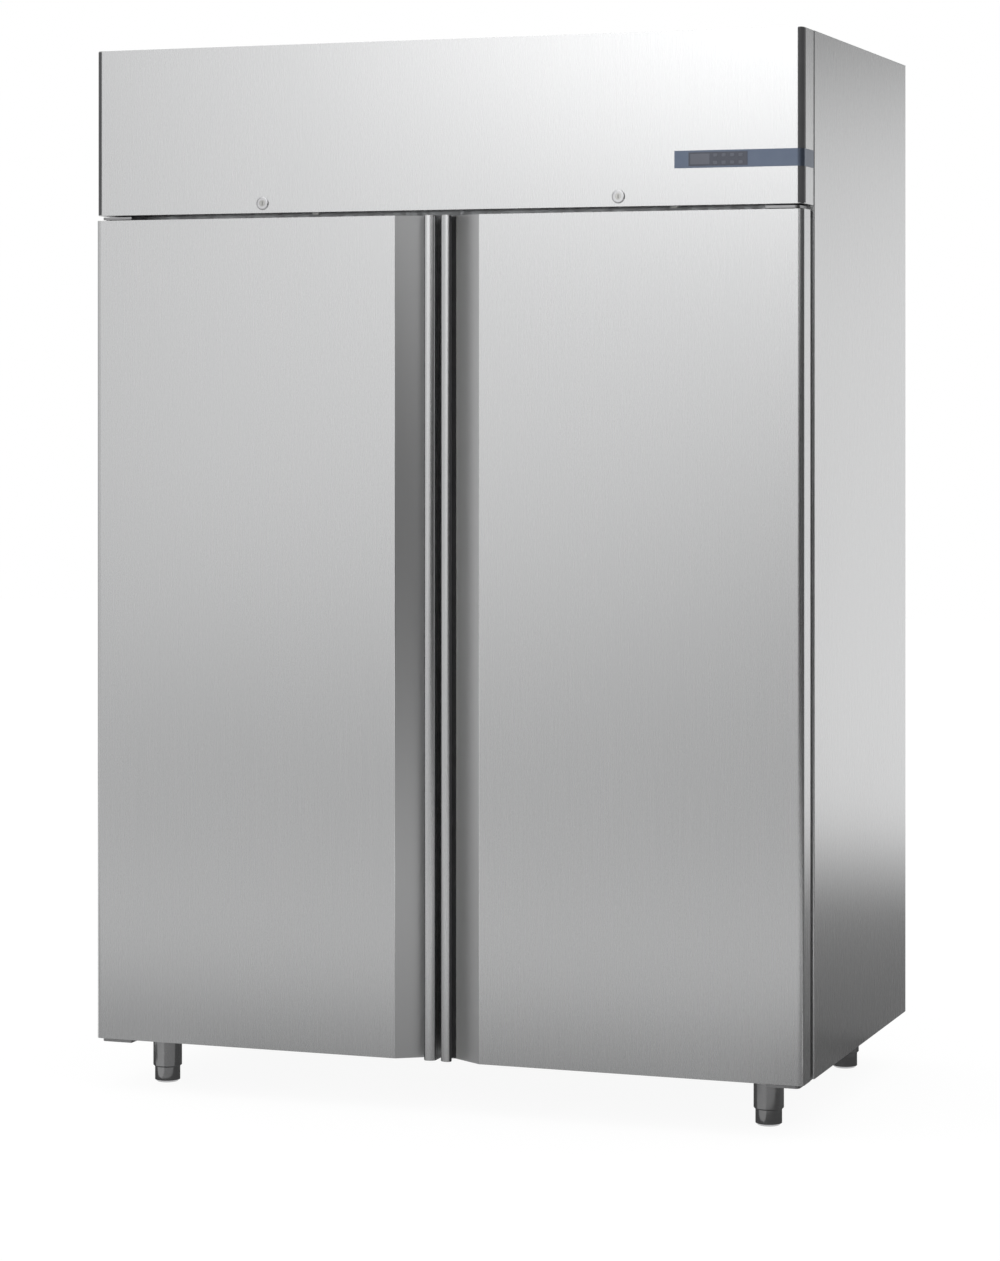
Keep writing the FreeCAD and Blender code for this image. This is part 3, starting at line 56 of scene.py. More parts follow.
cameraSet = {
    "place": Vector((2.3734, -6.7364, 1.4047)),
    "turn": 19.567,        # degrees to the right of the front
    "lens": 99.465,
    "sensor": 36,
    "shiftUp": -0.1922,    # horizon sits high in the frame
    "farClip": 60,
}
floorSet = {
    "reach": 14.0,
    "tone": (0.9, 0.9, 0.9, 1),
    "whiteShare": 0.90,    # the rest takes shadows
    "glow": 1.03,
}
skySet = {"diffuse": 0.95, "white": 1.0}
lampSet = {
    "front": {"place": (-0.6, -7.0, 3.4), "aim": (0, 0, 1.8), "size": (3.4, 2.0), "watts": 28},
    "overhead": {"place": (-0.5, -1.5, 5.0), "aim": (0, 0, 1.0), "size": (3.0, 3.0), "watts": 20},
}
# grey cards that only the steel reflects; wall cards give x, y and grey along their foot
wallCardSet = {
    "right": {"foot": ((1.7, -6.3, 0.40), (2.9, -5.0, 0.19), (3.6, -2.4, 0.12), (3.9, 0.5, 0.08),
                       (3.8, 3.8, 0.20), (3.76, 4.1, 0.20)), "rise": (0.0, 4.5)},
    "rightLow": {"foot": ((1.3, -6.0, 0.30), (1.9, -5.2, 0.05), (2.7, -3.9, 0.02), (3.3, -2.2, 0.02)),
                 "rise": (0.2, 1.7)},
    "rightHigh": {"foot": ((2.3, -4.55, 0.12), (2.5, -4.25, 0.90), (2.9, -3.35, 0.90), (3.1, -2.8, 0.12)),
                  "rise": (1.7, 4.0)},
    "frontLow": {"foot": ((-2.6, -9.4, 0.95), (-1.2, -9.2, 0.60), (0.6, -8.6, 0.32), (1.9, -7.2, 0.28)),
                 "rise": (0.1, 1.0)},
    "left": {"foot": ((-3.2, 5.6, 0.45), (-4.4, 3.4, 0.42), (-4.4, 0.7, 0.42), (-4.4, 0.0, 0.72),
                      (-4.4, -2.2, 0.72), (-5.2, -4.5, 0.62), (-4.7, -6.4, 0.70), (-4.1, -7.4, 0.88)),
             "rise": (0.0, 4.0)},
}
# floor cards give y and grey, the one behind z and grey
floorCardLift = 4 * mm
floorCardSet = {
    "front": {"x": (-8.0, 0.5), "stops": ((-0.45, 0.45), (-0.8, 0.39), (-1.15, 0.38), (-2.0, 0.74),
                                          (-3.2, 0.66), (-4.5, 0.46), (-7.0, 0.41), (-12.0, 0.70))},
    "frontRight": {"x": (0.5, 2.6), "stops": ((-0.45, 0.28), (-1.3, 0.28), (-2.2, 0.85), (-4.5, 0.62),
                                              (-7.0, 0.41), (-12.0, 0.70))},
    "rear": {"x": (0.76, 3.8), "stops": ((-0.3, 0.14), (1.2, 0.20), (2.4, 0.26), (4.1, 0.95))},
    "under": {"x": (-1.1, 1.3), "stops": ((-0.45, 0.10), (0.6, 0.10))},
    "leftLeg": {"x": (-0.84, -0.64), "stops": ((-0.34, 0.46), (-0.78, 0.46)), "lift": 6 * mm},
    "legsBetween": {"x": (-0.64, 0.36), "stops": ((-0.34, 0.27), (-0.78, 0.27)), "lift": 6 * mm},
    "rightLeg": {"x": (0.36, 0.62), "stops": ((-0.34, 0.35), (-0.78, 0.35)), "lift": 6 * mm},
}
rearCardSet = {"x": (0.5, 5.0), "y": 7.0,
               "stops": ((1.8, 1.0), (2.3, 0.90), (2.6, 0.72), (2.85, 0.44), (3.3, 0.25), (6.0, 0.20))}


def meshPiece(name, points, faces):
    mesh = bpy.data.meshes.new(name)
    mesh.from_pydata(points, [], faces)
    mesh.update()
    piece = bpy.data.objects.new(name, mesh)
    bpy.context.scene.collection.objects.link(piece)
    return piece


def nodeIn(tree, kind, inputs=None, **settings):
    node = tree.nodes.new(kind)
    for key, value in settings.items():
        setattr(node, key, value)
    for key, value in (inputs or {}).items():
        if isinstance(value, bpy.types.NodeSocket):
            tree.links.new(value, node.inputs[key])
        else:
            node.inputs[key].default_value = value
    return node


def backgroundRays(tree):
    path = nodeIn(tree, "ShaderNodeLightPath")
    seen = nodeIn(tree, "ShaderNodeMath", {0: path.outputs["Is Camera Ray"],
                                           1: path.outputs["Is Glossy Ray"]}, operation="ADD")
    return nodeIn(tree, "ShaderNodeMath", {0: seen.outputs[0], 1: path.outputs["Is Transmission Ray"]},
                  operation="ADD", use_clamp=True).outputs[0]


def placeCamera():
    data = bpy.data.cameras.new("camera")
    data.lens = cameraSet["lens"]
    data.sensor_width = cameraSet["sensor"]
    data.shift_y = cameraSet["shiftUp"]
    data.clip_end = cameraSet["farClip"]
    camera = bpy.data.objects.new("camera", data)
    camera.location = cameraSet["place"]
    camera.rotation_euler = (math.radians(90), 0, math.radians(cameraSet["turn"]))
    bpy.context.scene.collection.objects.link(camera)
    bpy.context.scene.camera = camera


def layFloor():
    reach = floorSet["reach"]
    floor = meshPiece("floor", [(-reach, -reach, 0), (reach, -reach, 0), (reach, reach, 0),
                                (-reach, reach, 0)], [(0, 1, 2, 3)])
    material = bpy.data.materials.new("paleFloor")
    material.use_nodes = True
    tree = material.node_tree
    tree.nodes.clear()
    matte = nodeIn(tree, "ShaderNodeBsdfDiffuse", {"Color": floorSet["tone"]})
    white = nodeIn(tree, "ShaderNodeEmission", {"Color": (1, 1, 1, 1), "Strength": floorSet["glow"]})
    share = nodeIn(tree, "ShaderNodeMath", {0: backgroundRays(tree), 1: floorSet["whiteShare"]},
                   operation="MULTIPLY")
    both = nodeIn(tree, "ShaderNodeMixShader", {0: share.outputs[0], 1: matte.outputs[0],
                                                2: white.outputs[0]})
    nodeIn(tree, "ShaderNodeOutputMaterial", {0: both.outputs[0]})
    floor.data.materials.append(material)


def lightStage():
    world = bpy.data.worlds.new("studio")
    bpy.context.scene.world = world
    world.use_nodes = True
    tree = world.node_tree
    tree.nodes.clear()
    strength = nodeIn(tree, "ShaderNodeMapRange", {0: backgroundRays(tree), 3: skySet["diffuse"],
                                                   4: skySet["white"]})
    sky = nodeIn(tree, "ShaderNodeBackground", {"Color": (1, 1, 1, 1), "Strength": strength.outputs[0]})
    nodeIn(tree, "ShaderNodeOutputWorld", {0: sky.outputs[0]})
    for name, lamp in lampSet.items():
        data = bpy.data.lights.new(name + "Lamp", "AREA")
        data.shape = "RECTANGLE"
        data.size, data.size_y = lamp["size"]
        data.energy = lamp["watts"]
        light = bpy.data.objects.new(name + "Lamp", data)
        light.location = lamp["place"]
        light.visible_camera = False
        light.rotation_euler = (Vector(lamp["aim"]) - light.location).to_track_quat("-Z", "Y").to_euler()
        bpy.context.scene.collection.objects.link(light)


def reflectionCard(name, edges, tones):
    points = [point for edge in edges for point in edge]
    faces = [(2 * step, 2 * step + 1, 2 * step + 3, 2 * step + 2) for step in range(len(edges) - 1)]
    card = meshPiece(name, points, faces)
    grey = card.data.attributes.new("grey", "FLOAT", "POINT")
    grey.data.foreach_set("value", [tone for tone in tones for side in range(2)])
    material = bpy.data.materials.new(name + "Grey")
    material.use_nodes = True
    tree = material.node_tree
    tree.nodes.clear()
    shade = nodeIn(tree, "ShaderNodeAttribute", attribute_name="grey")
    tone = nodeIn(tree, "ShaderNodeEmission", {"Strength": shade.outputs["Fac"]})
    nodeIn(tree, "ShaderNodeOutputMaterial", {0: tone.outputs[0]})
    card.data.materials.append(material)
    card.visible_camera = False
    card.visible_diffuse = False
    card.visible_shadow = False
    card.visible_transmission = False


def standCards():
    for name, card in wallCardSet.items():
        low, high = card["rise"]
        edges = [((x, y, low), (x, y, high)) for x, y, grey in card["foot"]]
        reflectionCard(name + "Card", edges, [grey for x, y, grey in card["foot"]])
    for name, card in floorCardSet.items():
        (left, right), z = card["x"], card.get("lift", floorCardLift)
        edges = [((left, y, z), (right, y, z)) for y, grey in card["stops"]]
        reflectionCard(name + "FloorCard", edges, [grey for y, grey in card["stops"]])
    (left, right), y = rearCardSet["x"], rearCardSet["y"]
    edges = [((left, y, z), (right, y, z)) for z, grey in rearCardSet["stops"]]
    reflectionCard("rearCard", edges, [grey for z, grey in rearCardSet["stops"]])


placeCamera()
layFloor()
lightStage()
standCards()
bpy.context.scene.view_settings.view_transform = "Standard"
print("stage set")


# finishes

brushSet = {
    "broad": (2.2, 2.2, 1.6),    # slow changes of tone, per metre
    "broadShare": 0.3,
    "depth": 0.05 * mm,
    "strength": 0.05,
    "stretch": 0.35,
    "foldBlend": 2 * mm,
}


def newFinish(name, **sockets):
    material = bpy.data.materials.new(name)
    material.use_nodes = True
    tree = material.node_tree
    shader = tree.nodes["Principled BSDF"]
    for socket, value in sockets.items():
        shader.inputs[socket.replace("_", " ")].default_value = value
    return material, tree, shader


def grain(tree, perMetre, detail=3.0, rough=0.55):
    place = nodeIn(tree, "ShaderNodeTexCoord").outputs["Object"]
    stretch = nodeIn(tree, "ShaderNodeMapping", {"Vector": place, "Scale": perMetre})
    return nodeIn(tree, "ShaderNodeTexNoise", {"Vector": stretch.outputs[0], "Scale": 1.0,
                                               "Detail": detail, "Roughness": rough}).outputs["Fac"]


def between(tree, factor, dark, light, low=0.3, high=0.7):
    ramp = nodeIn(tree, "ShaderNodeValToRGB", {0: factor})
    ramp.color_ramp.elements[0].position = low
    ramp.color_ramp.elements[1].position = high
    ramp.color_ramp.elements[0].color = (*dark, 1)
    ramp.color_ramp.elements[1].color = (*light, 1)
    return ramp.outputs[0]


def spread(tree, factor, low, high):
    return nodeIn(tree, "ShaderNodeMapRange", {0: factor, 1: 0.25, 2: 0.75, 3: low, 4: high}).outputs[0]


def relief(tree, shader, height, depth, strength):
    bump = nodeIn(tree, "ShaderNodeBump", {"Height": height, "Distance": depth, "Strength": strength})
    tree.links.new(bump.outputs[0], shader.inputs["Normal"])


def steelFinish(name, dark, light, rough, lines, stretched=0.0, folded=None):
    material, tree, shader = newFinish(name, Metallic=1.0, Anisotropic=stretched)
    fine = grain(tree, lines, detail=4.0)
    broad = grain(tree, brushSet["broad"], detail=2.0)
    mixed = nodeIn(tree, "ShaderNodeMix", {0: brushSet["broadShare"], 2: fine, 3: broad},
                   data_type="FLOAT").outputs[0]
    tree.links.new(between(tree, mixed, dark, light), shader.inputs["Base Color"])
    matt = spread(tree, mixed, *rough)
    if folded:      # the slopes of the handle channels are duller than the brushed faces
        place = nodeIn(tree, "ShaderNodeTexCoord").outputs["Object"]
        along = nodeIn(tree, "ShaderNodeSeparateXYZ", {0: place}).outputs["X"]
        fromSeam = nodeIn(tree, "ShaderNodeMath", {0: along}, operation="ABSOLUTE").outputs[0]
        (start, end), (left, right) = folded["reach"], folded["rough"]
        blend = brushSet["foldBlend"]
        dull = nodeIn(tree, "ShaderNodeMapRange", {0: along, 1: -mm, 2: mm, 3: left, 4: right}).outputs[0]
        inside = nodeIn(tree, "ShaderNodeMapRange", {0: fromSeam, 1: start, 2: start + blend}).outputs[0]
        outside = nodeIn(tree, "ShaderNodeMapRange", {0: fromSeam, 1: end - blend, 2: end}).outputs[0]
        slope = nodeIn(tree, "ShaderNodeMath", {0: inside, 1: outside}, operation="SUBTRACT").outputs[0]
        matt = nodeIn(tree, "ShaderNodeMix", {0: slope, 2: matt, 3: dull}, data_type="FLOAT").outputs[0]
    tree.links.new(matt, shader.inputs["Roughness"])
    if stretched:
        around = nodeIn(tree, "ShaderNodeTangent", direction_type="RADIAL", axis="Z")
        tree.links.new(around.outputs[0], shader.inputs["Tangent"])
    relief(tree, shader, fine, brushSet["depth"], brushSet["strength"])
    return material


def zincFinish(name):
    material, tree, shader = newFinish(name, Metallic=1.0)
    place = nodeIn(tree, "ShaderNodeTexCoord").outputs["Object"]
    spangle = nodeIn(tree, "ShaderNodeTexVoronoi", {"Vector": place, "Scale": 110.0})
    cell = nodeIn(tree, "ShaderNodeSeparateColor", {0: spangle.outputs["Color"]}).outputs[0]
    tree.links.new(between(tree, cell, (0.46, 0.47, 0.48), (0.62, 0.63, 0.64), 0.0, 1.0),
                   shader.inputs["Base Color"])
    tree.links.new(spread(tree, cell, 0.38, 0.52), shader.inputs["Roughness"])
    relief(tree, shader, grain(tree, (400, 400, 400)), 0.1 * mm, 0.15)
    return material


def plainFinish(name, dark, light, rough, perMetre, depth, strength, **sockets):
    material, tree, shader = newFinish(name, **sockets)
    fine = grain(tree, (perMetre,) * 3)
    broad = grain(tree, (perMetre / 40,) * 3, detail=2.0)
    mixed = nodeIn(tree, "ShaderNodeMix", {0: 0.5, 2: fine, 3: broad}, data_type="FLOAT").outputs[0]
    tree.links.new(between(tree, mixed, dark, light), shader.inputs["Base Color"])
    tree.links.new(spread(tree, fine, *rough), shader.inputs["Roughness"])
    relief(tree, shader, fine, depth, strength)
    return material


def foamFinish(name):
    material, tree, shader = newFinish(name, Specular_IOR_Level=0.2)
    place = nodeIn(tree, "ShaderNodeTexCoord").outputs["Object"]
    cells = nodeIn(tree, "ShaderNodeTexVoronoi", {"Vector": place, "Scale": 420.0}).outputs["Distance"]
    tree.links.new(between(tree, cells, (0.62, 0.52, 0.30), (0.80, 0.71, 0.47), 0.1, 0.8),
                   shader.inputs["Base Color"])
    tree.links.new(spread(tree, cells, 0.75, 0.95), shader.inputs["Roughness"])
    relief(tree, shader, cells, 0.6 * mm, 0.5)
    return material


# dark and light tone and roughness; brush lines per metre
paleSteel = ((0.612, 0.615, 0.619), (0.628, 0.631, 0.635), (0.25, 0.29))
upright = (900, 900, 7)
softBlack = ((0.012, 0.012, 0.013), (0.022, 0.022, 0.024))
# reach of the slopes from the seam between the doors; roughness on the left and the right door
slopeFold = {"reach": (28 * mm, 87 * mm), "rough": (0.34, 0.44)}
finishes = {
    "stainless_steel": steelFinish("stainlessSteel", *paleSteel, upright, brushSet["stretch"]),
    "door_skin": steelFinish("doorSkin", *paleSteel, upright, brushSet["stretch"], slopeFold),
    "galvanised_sheet": zincFinish("galvanisedSheet"),
    "insulating_foam": foamFinish("insulatingFoam"),
    "hinge_steel": steelFinish("hingeSteel", (0.30, 0.30, 0.305), (0.38, 0.38, 0.385), (0.32, 0.42),
                               (500, 40, 500)),
    "leg_steel": steelFinish("legSteel", (0.44, 0.44, 0.445), (0.50, 0.50, 0.505), (0.15, 0.21),
                             (30, 30, 900)),
    "gasket_rubber": plainFinish("gasketRubber", *softBlack, (0.5, 0.66), 900, 0.05 * mm, 0.2),
    "hinge_bush": plainFinish("hingeBush", *softBlack, (0.4, 0.55), 700, 0.04 * mm, 0.2),
    "control_strip": plainFinish("controlStrip", (0.100, 0.122, 0.168), (0.118, 0.142, 0.190),
                                 (0.28, 0.38), 1200, 0.02 * mm, 0.15, Metallic=0.85),
    "display_window": plainFinish("displayWindow", (0.046, 0.051, 0.070), (0.056, 0.062, 0.084),
                                  (0.10, 0.18), 1500, 0.01 * mm, 0.08),
    "readout": plainFinish("readout", (0.090, 0.097, 0.122), (0.105, 0.112, 0.138), (0.08, 0.14),
                           1500, 0.01 * mm, 0.05),
    "keypad": plainFinish("keypad", (0.080, 0.087, 0.112), (0.092, 0.100, 0.127), (0.3, 0.4),
                          1500, 0.02 * mm, 0.1),
    "shelf_wire": plainFinish("shelfWire", (0.50, 0.51, 0.52), (0.58, 0.59, 0.60), (0.34, 0.44), 900,
                              0.03 * mm, 0.2),
    "controller_case": plainFinish("controllerCase", (0.016, 0.016, 0.018), (0.028, 0.028, 0.030),
                                   (0.45, 0.6), 1400, 0.05 * mm, 0.3),
    # edge_trim: painted shade on the header's rounded edges
    "edge_trim": plainFinish("paintedEdgeShade", (0.046, 0.046, 0.048), (0.058, 0.058, 0.060), (0.36, 0.46), 1400,
                             0.03 * mm, 0.2),
    "contact_plastic": plainFinish("contactPlastic", (0.66, 0.66, 0.64), (0.74, 0.74, 0.72),
                                   (0.4, 0.5), 1200, 0.03 * mm, 0.2),
    "lock_chrome": steelFinish("lockChrome", (0.52, 0.52, 0.53), (0.60, 0.60, 0.61), (0.12, 0.18),
                               (600, 600, 600)),
    "lock_brass": steelFinish("lockBrass", (0.42, 0.42, 0.41), (0.50, 0.50, 0.485), (0.18, 0.28),
                              (500, 500, 500)),
    "lamp_cover": plainFinish("lampCover", (0.80, 0.80, 0.77), (0.86, 0.86, 0.84), (0.2, 0.3), 300,
                              0.05 * mm, 0.2),
    "coil_fins": steelFinish("coilFins", (0.55, 0.56, 0.57), (0.68, 0.69, 0.70), (0.30, 0.42),
                             (200, 200, 200)),
    "motor_casing": plainFinish("motorCasing", (0.014, 0.014, 0.015), (0.024, 0.024, 0.026),
                                (0.28, 0.42), 900, 0.08 * mm, 0.3),
    "guard_wire": plainFinish("guardWire", (0.010, 0.010, 0.011), (0.018, 0.018, 0.020), (0.35, 0.5),
                              1500, 0.05 * mm, 0.25),
    "fan_blades": plainFinish("fanBlades", (0.020, 0.020, 0.022), (0.032, 0.032, 0.035), (0.42, 0.55),
                              900, 0.04 * mm, 0.2),
    "copper_pipe": steelFinish("copperPipe", (0.55, 0.24, 0.12), (0.70, 0.34, 0.19), (0.22, 0.36),
                               (120, 120, 120)),
}
print("finishes made:", len(finishes))


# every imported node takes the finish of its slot

for part in frame["record"]["subparts"]:
    node = nodes[part["node"]]
    node.data.materials.clear()
    node.data.materials.append(finishes[part["material_slot"]])
print("nodes finished")


# shapes that the pieces are put together from

def spaced(low, high, count):
    return [low + (high - low) * index / (count - 1) for index in range(count)]


def turnsFrom(first, last, count):
    return [math.radians(turn) for turn in spaced(first, last, count)]


def fullCircle(count):
    return spaced(0, 2 * math.pi, count + 1)[:-1]


def addRings(shape, rings, loop=False):
    levels = [[shape.verts.new(point) for point in ring] for ring in rings]
    steps = list(zip(levels, levels[1:]))
    if loop:
        steps.append((levels[-1], levels[0]))
    for near, far in steps:
        for index in range(len(near)):
            after = (index + 1) % len(near)
            shape.faces.new((near[index], near[after], far[after], far[index]))
    if not loop:
        shape.faces.new(levels[0])
        shape.faces.new(levels[-1])


def addBar(shape, low, high):
    flat = [(low[0], low[1]), (high[0], low[1]), (high[0], high[1]), (low[0], high[1])]
    addRings(shape, [[(x, y, z) for x, y in flat] for z in (low[2], high[2])])


def addTube(shape, path, radius, sides=10, loop=False):
    path = [Vector(point) for point in path]
    count = len(path)
    rings = []
    side = None
    for index, point in enumerate(path):
        if loop:
            ahead = path[(index + 1) % count] - path[index - 1]
        else:
            ahead = path[min(index + 1, count - 1)] - path[max(index - 1, 0)]
        ahead.normalize()
        side = ahead.orthogonal() if side is None else side - ahead * side.dot(ahead)
        side.normalize()
        other = ahead.cross(side)
        rings.append([point + (side * math.cos(turn) + other * math.sin(turn)) * radius
                      for turn in fullCircle(sides)])
    addRings(shape, rings, loop)


def across(along):
    along = Vector(along).normalized()
    side = along.orthogonal().normalized()
    return along, side, along.cross(side)


def addTurned(shape, place, along, profile, sides=24, outlineAt=None, loop=False):
    # profile of radius and height; outlineAt may give a ring another outline than a circle
    along, side, other = across(along)
    rings = []
    for step, (radius, height) in enumerate(profile):
        ring = []
        for index, turn in enumerate(fullCircle(sides)):
            reach = radius * (outlineAt(step, index, turn) if outlineAt else 1)
            ring.append(Vector(place) + along * height
                        + (side * math.cos(turn) + other * math.sin(turn)) * reach)
        rings.append(ring)
    addRings(shape, rings, loop)


def roundedOutline(x, z, corner, steps=5):
    outline = []
    for inX, inZ, quarter in ((x[1] - corner, z[1] - corner, 0), (x[0] + corner, z[1] - corner, 1),
                              (x[0] + corner, z[0] + corner, 2), (x[1] - corner, z[0] + corner, 3)):
        for step in range(steps + 1):
            turn = math.pi / 2 * (quarter + step / steps)
            outline.append((inX + corner * math.cos(turn), inZ + corner * math.sin(turn)))
    return outline


def addPlate(shape, x, z, face, proud, corner, edge):
    # rounded plate that stands out of a face towards the front
    rings = []
    for inset, out in ((0, 0), (0, proud - edge), (edge, proud)):
        outline = roundedOutline((x[0] + inset, x[1] - inset), (z[0] + inset, z[1] - inset),
                                 corner - inset)
        rings.append([(px, face - out, pz) for px, pz in outline])
    addRings(shape, rings)


def evenNormals(mesh, sharp):
    # broad faces stay flat, only the narrow ones between them turn
    around = [[] for vertex in mesh.vertices]
    for face in mesh.polygons:
        for vertex in face.vertices:
            around[vertex].append(face)
    normals = []
    for face in mesh.polygons:
        for vertex in face.vertices:
            joined = [other for other in around[vertex] if other.normal.angle(face.normal, 0) < sharp]
            normals.append(sum((other.normal * other.area for other in joined), Vector()).normalized())
    mesh.normals_split_custom_set(normals)


def putPiece(shape, name, body, finish, sharp=32, even=False):
    bmesh.ops.recalc_face_normals(shape, faces=shape.faces)
    mesh = bpy.data.meshes.new(name)
    shape.to_mesh(mesh)
    shape.free()
    mesh.shade_smooth()
    mesh.set_sharp_from_angle(angle=math.radians(sharp))
    if even:
        evenNormals(mesh, math.radians(sharp))
    mesh.materials.append(finishes[finish])
    piece = bpy.data.objects.new(name, mesh)
    bpy.context.scene.collection.objects.link(piece)
    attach(piece, body)
    return piece


# magnetic door gaskets: base, bellows and magnet pocket, mitred at the corners

gasketSet = {
    "width": 14 * mm,
    "base": 4.6 * mm,
    "fold": 2.0 * mm,
    "foldDepth": 2.4 * mm,
    "neck": 3.4 * mm,        # from the outer edge in to the bellows
    "edge": 1.0 * mm,
}


def gasketProfile(depth):
    base, fold, edge = gasketSet["base"], gasketSet["fold"], gasketSet["edge"]
    neck, width = gasketSet["neck"], gasketSet["width"]
    deep = neck + gasketSet["foldDepth"]
    outer = [(edge, 0), (0, edge), (0, base - edge), (edge, base), (deep, base),
             (neck, base + fold / 2), (deep, base + fold), (neck, base + 1.5 * fold),
             (deep, base + 2 * fold), (edge, base + 2 * fold), (0, base + 2 * fold + edge),
             (0, depth - edge), (edge, depth)]
    return outer + [(width - inwards, out) for inwards, out in reversed(outer)]


def doorGasket(side):
    node = side + "_door_gasket"
    low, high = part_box(node)
    profile = gasketProfile(high.y - low.y)
    rings = []
    for right, upper in ((False, False), (True, False), (True, True), (False, True)):
        rings.append([(high.x - inwards if right else low.x + inwards, low.y + out,
                       high.z - inwards if upper else low.z + inwards) for inwards, out in profile])
    shape = bmesh.new()
    addRings(shape, rings, loop=True)
    gasket = putPiece(shape, side + "DoorGasket", side + "_door", "gasket_rubber", sharp=40)
    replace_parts(gasket, node)


for side in ("left", "right"):
    doorGasket(side)
print("gaskets fitted")


# doors with a fuller, rounder handle lip; reaches run from the meeting edge, depths from the face

lipSet = {
    "width": 22 * mm,
    "edge": (14 * mm, 10 * mm),    # rounding of the meeting edge, along and into the door
    "nose": 7 * mm,
    "heel": 2.5 * mm,
}
packedLip = {"width": 18.5 * mm, "thickness": 10 * mm, "edge": 7.5 * mm, "corner": 2 * mm,
             "near": 0.01 * mm, "weld": 0.005 * mm}


def easedLip(reach, depth):
    edge, corner = packedLip["edge"], packedLip["corner"]
    turn, heelTurn = packedLip["width"] - corner, packedLip["thickness"] - corner
    nose, heel, near = lipSet["nose"], lipSet["heel"], packedLip["near"]
    if reach > packedLip["width"] + near or depth > packedLip["thickness"] + near:
        return reach, depth
    if reach < edge + near and depth < edge + near:
        pivot, old, centre, radii = (edge, edge), edge, lipSet["edge"], lipSet["edge"]
    elif reach > turn - near and depth < corner + near:
        pivot, old, centre, radii = (turn, corner), corner, (lipSet["width"] - nose, nose), (nose, nose)
    elif reach > turn - near and depth > heelTurn - near:
        pivot, old, radii = (turn, heelTurn), corner, (heel, heel)
        centre = (lipSet["width"] - heel, packedLip["thickness"] - heel)
    else:
        return reach, depth
    out = Vector((reach - pivot[0], depth - pivot[1]))
    inset = old - out.length
    out.normalize()
    return centre[0] + out.x * (radii[0] - inset), centre[1] + out.y * (radii[1] - inset)


def packedShape(node):
    shape = bmesh.new()
    shape.from_mesh(nodes[node].data)
    bmesh.ops.remove_doubles(shape, verts=shape.verts, dist=packedLip["weld"])
    return shape


def easedDoor(side, node, name, finish):
    low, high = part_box(side + "_door_skin")
    edge, inwards = (low.x, 1) if side == "right" else (high.x, -1)
    shape = packedShape(node)
    for vert in shape.verts:
        reach, depth = easedLip((vert.co.x - edge) * inwards, vert.co.y - low.y)
        vert.co.x, vert.co.y = edge + inwards * reach, low.y + depth
    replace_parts(putPiece(shape, name, side + "_door", finish, even=True), node)


for side in ("left", "right"):
    easedDoor(side, side + "_door_skin", side + "DoorSkin", "door_skin")
    easedDoor(side, side + "_door_foam", side + "DoorFoam", "insulating_foam")
print("door lips rounded")


# painted shade round the header's vertical edges: a dark strip over their rounding stands in for the dark
# reflection there; left out where the control strip passes

edgeShadeSet = {
    "radius": 12 * mm,
    "turns": (10, 90),       # degrees from the front
    "steps": 13,
    "tail": 6 * mm,
    "sheet": 0.7 * mm,
    "slack": 0.1 * mm,
    "endGap": 1.5 * mm,
}


def edgeShadeSection(out):
    radius = edgeShadeSet["radius"]
    curve = []
    for turn in turnsFrom(*edgeShadeSet["turns"], edgeShadeSet["steps"]):
        curve.append((radius - (radius + out) * math.sin(turn), radius - (radius + out) * math.cos(turn)))
    return curve + [(-out, radius + edgeShadeSet["tail"])]


def headerEdgeShade():
    low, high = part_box("header_panel")
    stripLow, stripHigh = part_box("control_strip")
    slack, gap = edgeShadeSet["slack"], edgeShadeSet["endGap"]
    section = edgeShadeSection(slack) + edgeShadeSection(slack + edgeShadeSet["sheet"])[::-1]
    shape = bmesh.new()
    for edge, inwards, bottom, top in ((low.x, 1, low.z + gap, high.z - gap),
                                       (high.x, -1, low.z + gap, stripLow.z - slack),
                                       (high.x, -1, stripHigh.z + slack, high.z - gap)):
        addRings(shape, [[(edge + inwards * reach, low.y + depth, z) for reach, depth in section]
                         for z in (bottom, top)])
    # the dark strip is painted shade on the rounded edges
    putPiece(shape, "headerEdgeShade", "header", "edge_trim")


headerEdgeShade()
print("header edges trimmed")


# leg sleeves that reach further down over the feet

sleeveSet = {"longer": 9 * mm, "below": 60 * mm}


def longerSleeves():
    shape = packedShape("leg_sleeves")
    for vert in shape.verts:
        if vert.co.z < sleeveSet["below"]:
            vert.co.z -= sleeveSet["longer"]
    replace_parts(putPiece(shape, "legSleeves", "cabinet", "leg_steel", even=True), "leg_sleeves")


longerSleeves()
print("leg sleeves lengthened")


# painted shade and light in the handles: dark plastic round each lip and along the channel is painted
# shade of the undercut, light plastic on the undercut wall is painted light for the slopes to reflect

gripShadeAndLightSet = {
    "wallReach": 7.5 * mm,
    "floorDepth": 38 * mm,
    "shadeStripReach": 20 * mm,
    "noseTurns": (45, 90, 4),      # degrees from the front, and steps
    "heelTurns": (100, 180, 6),
    "wallGap": 2 * mm,
    "sheet": 0.5 * mm,
    "slack": 0.1 * mm,
    "endGap": 1.5 * mm,
}


def lipCurve(out):
    nose, heel = lipSet["nose"], lipSet["heel"]
    curve = []
    for turn in turnsFrom(*gripShadeAndLightSet["noseTurns"]):
        curve.append((lipSet["width"] - nose + (nose + out) * math.sin(turn),
                      nose - (nose + out) * math.cos(turn)))
    for turn in turnsFrom(*gripShadeAndLightSet["heelTurns"]):
        curve.append((lipSet["width"] - heel + (heel + out) * math.sin(turn),
                      packedLip["thickness"] - heel - (heel + out) * math.cos(turn)))
    return curve


